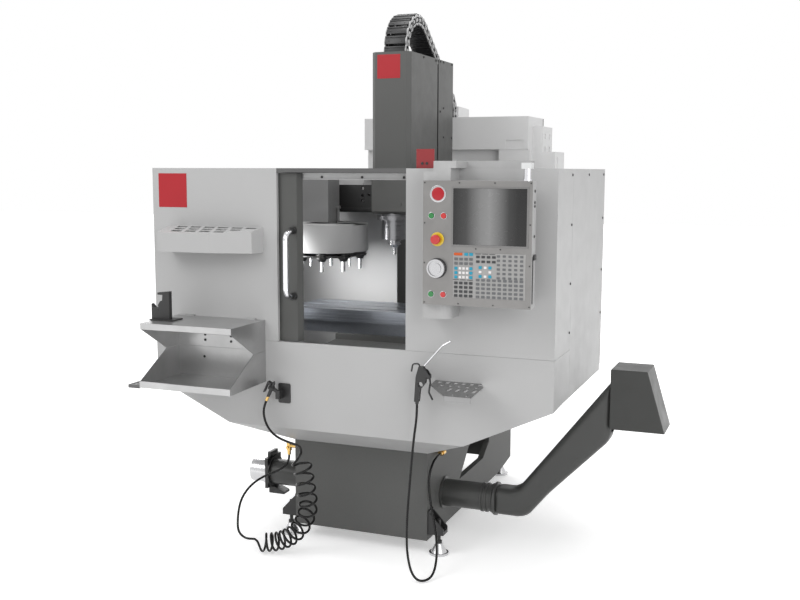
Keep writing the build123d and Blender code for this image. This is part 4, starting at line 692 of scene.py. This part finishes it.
# The route of the chain's middle in (y, z), then the forms of one link
chain = {
    "middle": -13.5,
    "width": 117,
    "thickness": 56,
    "start": (702, 2296),
    "rise": 68.5,
    "bend": 170,
    "fall": 36,
    "run": 547.5,
    "fold": 95,
    "drop": 29,
    "pitch": 46.4,
    "cabinetEnd": (1420, 2300),
    "headEnd": (760, 2300),
    "bar": {"margin": 5, "thickness": 5, "gap": 2, "edge": 1.5},
    "ridge": {"height": 2.5, "from": 12, "to": 4, "edge": 1},
    "stud": {"place": 0.55, "back": 6, "height": 1.5, "radius": 4},
    "cheek": {"thickness": 6, "overlap": 5, "lower": 11, "edge": 2.5},
    "scallop": {"smaller": 1.5, "edge": 1.5, "sides": 28},
    "pin": {"height": 1.5, "radius": 9, "edge": 0.6, "sides": 20},
}


def chainStation(settings, walked):
    # Place (y, z) and heading on the chain's line: up, round, down the slope and into the cabinet
    y, z = settings["start"]
    heading = math.pi / 2
    fall = math.radians(settings["fall"])
    stretches = ((settings["rise"], 0), (math.pi / 2 + fall, settings["bend"]), (settings["run"], 0),
                 (math.pi / 2 - fall, settings["fold"]), (settings["drop"], 0))
    for amount, radius in stretches:
        span = amount * radius if radius else amount
        here = min(walked, span)
        if not radius:
            y += here * math.cos(heading)
            z += here * math.sin(heading)
        else:
            turned = here / radius
            y += radius * (math.sin(heading) - math.sin(heading - turned))
            z += radius * (math.cos(heading - turned) - math.cos(heading))
            heading -= turned
        walked -= here
        if walked <= 0:
            break
    return y, z, heading


def makeLink(settings):
    # One link lies along Y at the machine's origin: two ridged bars, and two cheeks with round ends
    half = settings["width"] / 2
    thick = settings["thickness"] / 2
    long = settings["pitch"] / 2
    form, ridge, stud = settings["bar"], settings["ridge"], settings["stud"]
    inside = half - form["margin"]
    bars = []
    for side in (-1, 1):
        low, high = sorted((side * thick, side * (thick - form["thickness"])))
        bars.append(addBlock((-inside, -long + form["gap"], low), (inside, long - form["gap"], high),
                             form["edge"]))
        low, high = sorted((side * thick, side * (thick + ridge["height"])))
        bars.append(addBlock((-inside, long - ridge["from"], low), (inside, long - ridge["to"], high),
                             ridge["edge"]))
        for x in (-half * stud["place"], half * stud["place"]):
            foot = (x, -stud["back"], side * thick)
            top = (x, -stud["back"], side * (thick + stud["height"]))
            bars.append(addRod(foot, top, stud["radius"], 0.5, 12))
    form, scallop, pin = settings["cheek"], settings["scallop"], settings["pin"]
    cheeks = []
    for side in (-1, 1):
        low, high = sorted((side * half, side * (half - form["thickness"])))
        cheeks.append(addBlock((low, -long + 1, -thick + form["lower"]),
                               (high, long + form["overlap"], thick - form["lower"]), form["edge"]))
        cheeks.append(addRod((low, 0, 0), (high, 0, 0), thick - scallop["smaller"], scallop["edge"],
                             scallop["sides"]))
        cheeks.append(addRod((side * half, 0, 0), (side * (half + pin["height"]), 0, 0), pin["radius"],
                             pin["edge"], pin["sides"]))
    return joinPieces(bars), joinPieces(cheeks)


def makeChain(settings):
    bar, cheek = makeLink(settings)
    total = settings["rise"] + settings["run"] + settings["drop"]
    total += math.radians(90 + settings["fall"]) * settings["bend"]
    total += math.radians(90 - settings["fall"]) * settings["fold"]
    count = round(total / settings["pitch"])
    barCopies, cheekCopies = [], []
    home = Matrix.Translation(-machineOrigin)
    for number in range(count):
        y, z, heading = chainStation(settings, total * (number + 0.5) / count)
        place = Matrix.Translation(mm(settings["middle"], y, z))
        turn = place @ Matrix.Rotation(heading, 4, "X") @ home
        barCopies.append(copyPiece(bar, turn=turn))
        cheekCopies.append(copyPiece(cheek, turn=turn))
    bpy.data.objects.remove(bar)
    bpy.data.objects.remove(cheek)
    for copies, name, material, slot in ((barCopies, "chainBars", blackPlastic, "black_plastic"),
                                         (cheekCopies, "chainCheeks", greyPlastic, "light_plastic")):
        piece = joinPieces(copies)
        smoothByAngle(piece)
        piece.name = name
        piece.data.name = name
        piece.data.materials.clear()
        piece.data.materials.append(material)
        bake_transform(piece)
        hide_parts("cable_chain")


makeChain(chain)
print("stage: cable chain")

# Sections as (lower corner, upper corner), each in (x, z)
chute = {
    "sides": (385, 515),
    "sections": [((600, 172), (600, 299)), ((760, 172), (712, 299)), ((862, 297), (775, 380)),
                 ((1145, 585), (1145, 856))],
    "round": 34,
    "sheet": 2,
    "hood": {"low": (1141, 370, 641), "high": (1381, 570, 911), "lean": -80, "edge": 3},
    "ring": {"x": (600, 614), "y": 450, "z": 235, "radius": 79, "edge": 2, "rim": 20, "sunk": 0.5},
}


def liesAt(vertex, place):
    # True at a place (x, z) in the side view, seen along Y
    here = mm(place[0], 0, place[1])
    return abs(vertex.co.x - here.x) < 0.0005 and abs(vertex.co.z - here.z) < 0.0005


def movePlace(obj, before, after):
    clearSelection(obj)
    for vertex in obj.data.vertices:
        vertex.select = liesAt(vertex, before)
    editBy("VERT")
    bpy.ops.transform.translate(value=mm(after[0], 0, after[1]) - mm(before[0], 0, before[1]))
    bpy.ops.object.mode_set(mode="OBJECT")


def selectFacing(obj, direction, place):
    # Selects the faces that look one way and lie beyond a place on that way
    clearSelection(obj)
    way = Vector(direction)
    for face in obj.data.polygons:
        face.select = face.normal.dot(way) > 0.99 and face.center.dot(way) > mm(*place).dot(way)
    editBy("FACE")


def openFacing(obj, direction, place):
    selectFacing(obj, direction, place)
    bpy.ops.mesh.delete(type="FACE")
    bpy.ops.object.mode_set(mode="OBJECT")


def thicken(obj, thickness):
    makeActive(obj)
    wall = obj.modifiers.new("wall", "SOLIDIFY")
    wall.thickness = thickness / 1000
    wall.offset = -1
    bpy.ops.object.modifier_apply(modifier=wall.name)


def makeTrough(settings):
    near, far = settings["sides"]
    sections = settings["sections"]
    x, low = sections[0][0]
    high = sections[0][1][1]
    startLength = 60  # moved at once to the second section
    away = 1000  # clear of the other vertices, before each new corner goes to its place
    trough = plainBlock((x, near, low), (x + startLength, far, high))
    movePlace(trough, (x + startLength, low), sections[1][0])
    movePlace(trough, (x + startLength, high), sections[1][1])
    for before, after in zip(sections[1:], sections[2:]):
        square = Vector((before[1][1] - before[0][1], 0, before[0][0] - before[1][0])).normalized()
        selectFacing(trough, square, Vector((before[1][0], 0, before[1][1])) - 5 * square)
        bpy.ops.mesh.extrude_region_move(TRANSFORM_OT_translate={"value": (away / 1000, 0, 0)})
        bpy.ops.object.mode_set(mode="OBJECT")
        for corner, place in zip(before, after):
            movePlace(trough, (corner[0] + away, corner[1]), place)
    # The four long edges are rounded, then both ends are opened
    clearSelection(trough)
    for edge in trough.data.edges:
        one, two = (trough.data.vertices[index] for index in edge.vertices)
        oneLow, twoLow = (any(liesAt(end, section[0]) for section in sections) for end in (one, two))
        edge.select = abs(one.co.y - two.co.y) < 0.0005 and oneLow == twoLow
    editBy("EDGE")
    bpy.ops.mesh.bevel(offset=settings["round"] / 1000, segments=8, clamp_overlap=True)
    bpy.ops.object.mode_set(mode="OBJECT")
    openFacing(trough, (-1, 0, 0), (x + 1, 0, 0))
    openFacing(trough, (1, 0, 0), (sections[-1][0][0] - 1, 0, 0))
    thicken(trough, settings["sheet"])
    smoothByAngle(trough, 30)
    return trough


def makeHood(settings):
    place = settings["hood"]
    hood = plainBlock(place["low"], place["high"])
    corner = (place["high"][0], place["high"][2])
    movePlace(hood, corner, (corner[0] + place["lean"], corner[1]))
    openFacing(hood, (0, 0, -1), (0, 0, place["low"][2] + 1))
    roundEdges(hood, place["edge"])
    thicken(hood, settings["sheet"])
    return hood


def makeChute(settings):
    trough = makeTrough(settings)
    hood = makeHood(settings)
    ring = settings["ring"]
    start, end = ((x, ring["y"], ring["z"]) for x in ring["x"])
    clamp = addRod(start, end, ring["radius"], ring["edge"], 48)
    insetFacing(clamp, (-1, 0, 0), ring["rim"], ring["sunk"])
    trough = joinPieces([trough, clamp])
    finishPiece(trough, "chuteTrough", darkSheet, "machine", ("chip_chute",))
    # The hood gets the darker colour, as painted shade
    finishPiece(hood, "chuteHood", hoodPaintedShade, "machine", ("chip_chute",))


makeChute(chute)
print("stage: chip chute")

# Feet of the screws' heads, on the face that each set stands on
screws = {
    "machine": {
        "rail": [(x, 56, 1750) for x in (-112, 84, 282)],
        "right": [(973.5, y, z) for y in (268, 979) for z in (1763, 1550, 1295, 1080)] + [(973.5, 620, 1763)],
        "coverRight": [(102, y, z) for y, z in ((1030, 2343), (1080, 2343), (1082, 2106), (1030, 2086),
                                               (1083, 1955), (1215, 2343), (1215, 1955))],
        "coverLeft": [(-102, y, z) for y, z in ((1030, 2343), (1082, 2106), (1083, 1955), (1215, 2343))],
        "tray": [(x, -3, z) for x, z in ((-700, 1010), (-700, 985), (-706, 905), (-560, 1010), (-560, 985))],
        "plate": [(x, 21, 1810) for x in (379, 400)],
    },
    "head": {
        "coverRight": [(102, y, z) for y in (779, 960) for z in (2340, 1800)],
        "coverLeft": [(-102, y, z) for y in (779, 960) for z in (2340, 1800)],
    },
    "pendant": {
        "case": [(x, -150, z) for x, z in ((454, 1731), (603, 1731), (752, 1731), (900, 1731), (454, 1567),
                                          (899, 1567), (454, 1403), (899, 1403), (454, 1239), (602, 1239),
                                          (750, 1239), (900, 1239), (675, 1466), (778, 1466))],
        "caseSide": [(907, -118, z) for z in (1700, 1655, 1640, 1520)],
    },
}
screwWays = {"rail": (0, -1, 0), "tray": (0, -1, 0), "plate": (0, -1, 0), "case": (0, -1, 0),
             "right": (1, 0, 0), "coverRight": (1, 0, 0), "caseSide": (1, 0, 0), "coverLeft": (-1, 0, 0)}
headRadius = {"case": 3.2}
usualHeadRadius = 6


def makeScrews(groups):
    for body, sets in groups.items():
        heads = []
        for key, places in sets.items():
            way = Vector(screwWays[key])
            size = headRadius.get(key, usualHeadRadius)
            for place in places:
                foot = Vector(place)
                heads.append(addRod(foot, foot + way * size * 0.5, size, size * 0.15, 14))
                insetFacing(heads[-1], way, size * 0.35, size * 0.25)
        finishPiece(joinPieces(heads), body + "Screws", blackPaint, body)


makeScrews(screws)
print("stage: screws")

# Plain red plates on the head's cover and the left panel
signs = {
    "headSign": {"low": (-69, 588.9, 2224), "high": (51, 590, 2338), "body": "head"},
    "panelSign": {"low": (-940, -1.1, 1606), "high": (-786, 0, 1764), "body": "machine"},
}
for signName, sign in signs.items():
    plate = addBlock(sign["low"], sign["high"], 0.3)
    finishPiece(plate, signName, signRed, sign["body"])

# Dark blocks inside the rack, under its holes: painted shade in the holes
rackShadePlaces = [((-871, -112, 1410), (-600, -8, 1476)), ((-600, -62, 1410), (-418, -8, 1476))]
rackShadeBlocks = [addBlock(low, high, 3) for low, high in rackShadePlaces]
finishPiece(joinPieces(rackShadeBlocks), "rackPaintedShade", blackRubber, "machine")
print("stage: signs and rack liners")

# Places on the panel's face in (x, z)
panel = {
    "face": -150,
    "badge": {"place": (512, 1686), "radius": 35, "height": 3, "rim": 7, "sunk": 0.8, "fill": (2.2, 2.9)},
    "buttons": {"places": [(484, 1597), (537, 1597), (484, 1274), (537, 1274)], "radius": 12.8},
    "estop": {"place": (510, 1501), "radius": 21, "thickness": 8},
    "jog": {"place": (510, 1382), "radius": 39, "thickness": 3},
    "screen": {"x": screenSides, "z": (1481, 1709), "bezel": 8, "height": 2.5},
}


def makePanel(settings):
    face = settings["face"]
    outward = (0, -1, 0)
    badge = settings["badge"]
    x, z = badge["place"]
    rim = addRod((x, face, z), (x, face - badge["height"], z), badge["radius"], 1, 48)
    insetFacing(rim, outward, badge["rim"], badge["sunk"])
    finishPiece(rim, "badgeRim", silverPlate, "pendant")
    back, front = badge["fill"]
    fill = addRod((x, face - back, z), (x, face - front, z), badge["radius"] - badge["rim"] - 1, 0.2, 48)
    finishPiece(fill, "badgeFill", signRed, "pendant")
    buttons = settings["buttons"]
    rings = [addRing((x, face - 1, z), outward, buttons["radius"], 1.8, 0.7) for x, z in buttons["places"]]
    finishPiece(joinPieces(rings), "buttonRings", silverPlate, "pendant")
    stop = settings["estop"]
    x, z = stop["place"]
    stopRing = addRing((x, face - 1.5, z), outward, stop["radius"], stop["thickness"], 0.3)
    finishPiece(stopRing, "estopRing", yellowGloss, "pendant")
    jog = settings["jog"]
    x, z = jog["place"]
    jogRing = addRing((x, face - 0.4, z), outward, jog["radius"], jog["thickness"], 0.25)
    finishPiece(jogRing, "jogRing", blackPlastic, "pendant")
    screen = settings["screen"]
    (left, right), (bottom, top), wide = screen["x"], screen["z"], screen["bezel"]
    strips = [((left - wide, top), (right + wide, top + wide)),
              ((left - wide, bottom - wide), (right + wide, bottom)),
              ((left - wide, bottom), (left, top)), ((right, bottom), (right + wide, top))]
    bezel = [addBlock((low[0], face - screen["height"], low[1]), (high[0], face, high[1]), 0.8)
             for low, high in strips]
    finishPiece(joinPieces(bezel), "screenBezel", faceSteel, "pendant")
    slot = addBlock((907, -140, 1250), (909, -128, 1440), 0.5)
    catch = addBlock((907, -130, 1425), (914, -100, 1448), 2)
    finishPiece(joinPieces([slot, catch]), "caseCatch", blackPlastic, "pendant")


makePanel(panel)

# Keys as (first x, first z, columns, rows, pitch across, pitch down, width, height)
keys = {
    "orangeKeys": {"colour": (0.6, 0.09, 0.01), "blocks": [(601, 1443, 1, 1, 0, 0, 36, 11)]},
    "blueKeys": {"colour": (0.01, 0.3, 0.45), "blocks": [
        (635, 1443, 2, 1, 21, 0, 16, 12), (592, 1385, 1, 3, 0, 18, 13, 12), (656, 1385, 1, 3, 0, 18, 13, 12),
        (695, 1391, 2, 2, 41, 36, 13, 12)]},
    "whiteKeys": {"colour": (0.8, 0.78, 0.78), "blocks": [
        (609, 1385, 3, 3, 15.5, 18, 11, 10), (716, 1391, 1, 2, 0, 36, 12, 10),
        (695, 1373, 2, 1, 41, 0, 12, 10)]},
    "greyKeys": {"colour": (0.13, 0.135, 0.14), "blocks": [
        (592, 1423, 4, 2, 21.3, 18, 15, 11), (771, 1439, 5, 6, 24, 17.6, 13, 9),
        (685, 1340, 9, 5, 22.8, 17.2, 15, 10)]},
    "blackKeys": {"colour": (0.035, 0.036, 0.038), "blocks": [
        (592, 1325, 4, 4, 21.3, 17.4, 15, 11), (685, 1434, 4, 2, 22.3, 19, 15, 10),
        (685, 1446, 3, 1, 30, 0, 24, 2), (592, 1338, 3, 1, 30, 0, 24, 2)]},
}


def makeKeys(settings, face, height):
    for name, group in settings.items():
        caps = []
        for firstX, firstZ, columns, rows, across, down, wide, high in group["blocks"]:
            cap = addBlock((firstX - wide / 2, face - height, firstZ - high / 2),
                           (firstX + wide / 2, face, firstZ + high / 2), min(1.2, high * 0.3))
            for row in range(rows):
                for column in range(columns):
                    if row or column:
                        caps.append(copyPiece(cap, (column * across, 0, -row * down)))
            caps.append(cap)
        cover = mouldedPlastic(name, group["colour"], 0.4, 0.05)
        finishPiece(joinPieces(caps), name, cover, "pendant")


keypadThickness = 0.7
keyHeight = 2.6
makeKeys(keys, panel["face"] - keypadThickness, keyHeight)
print("stage: control panel")
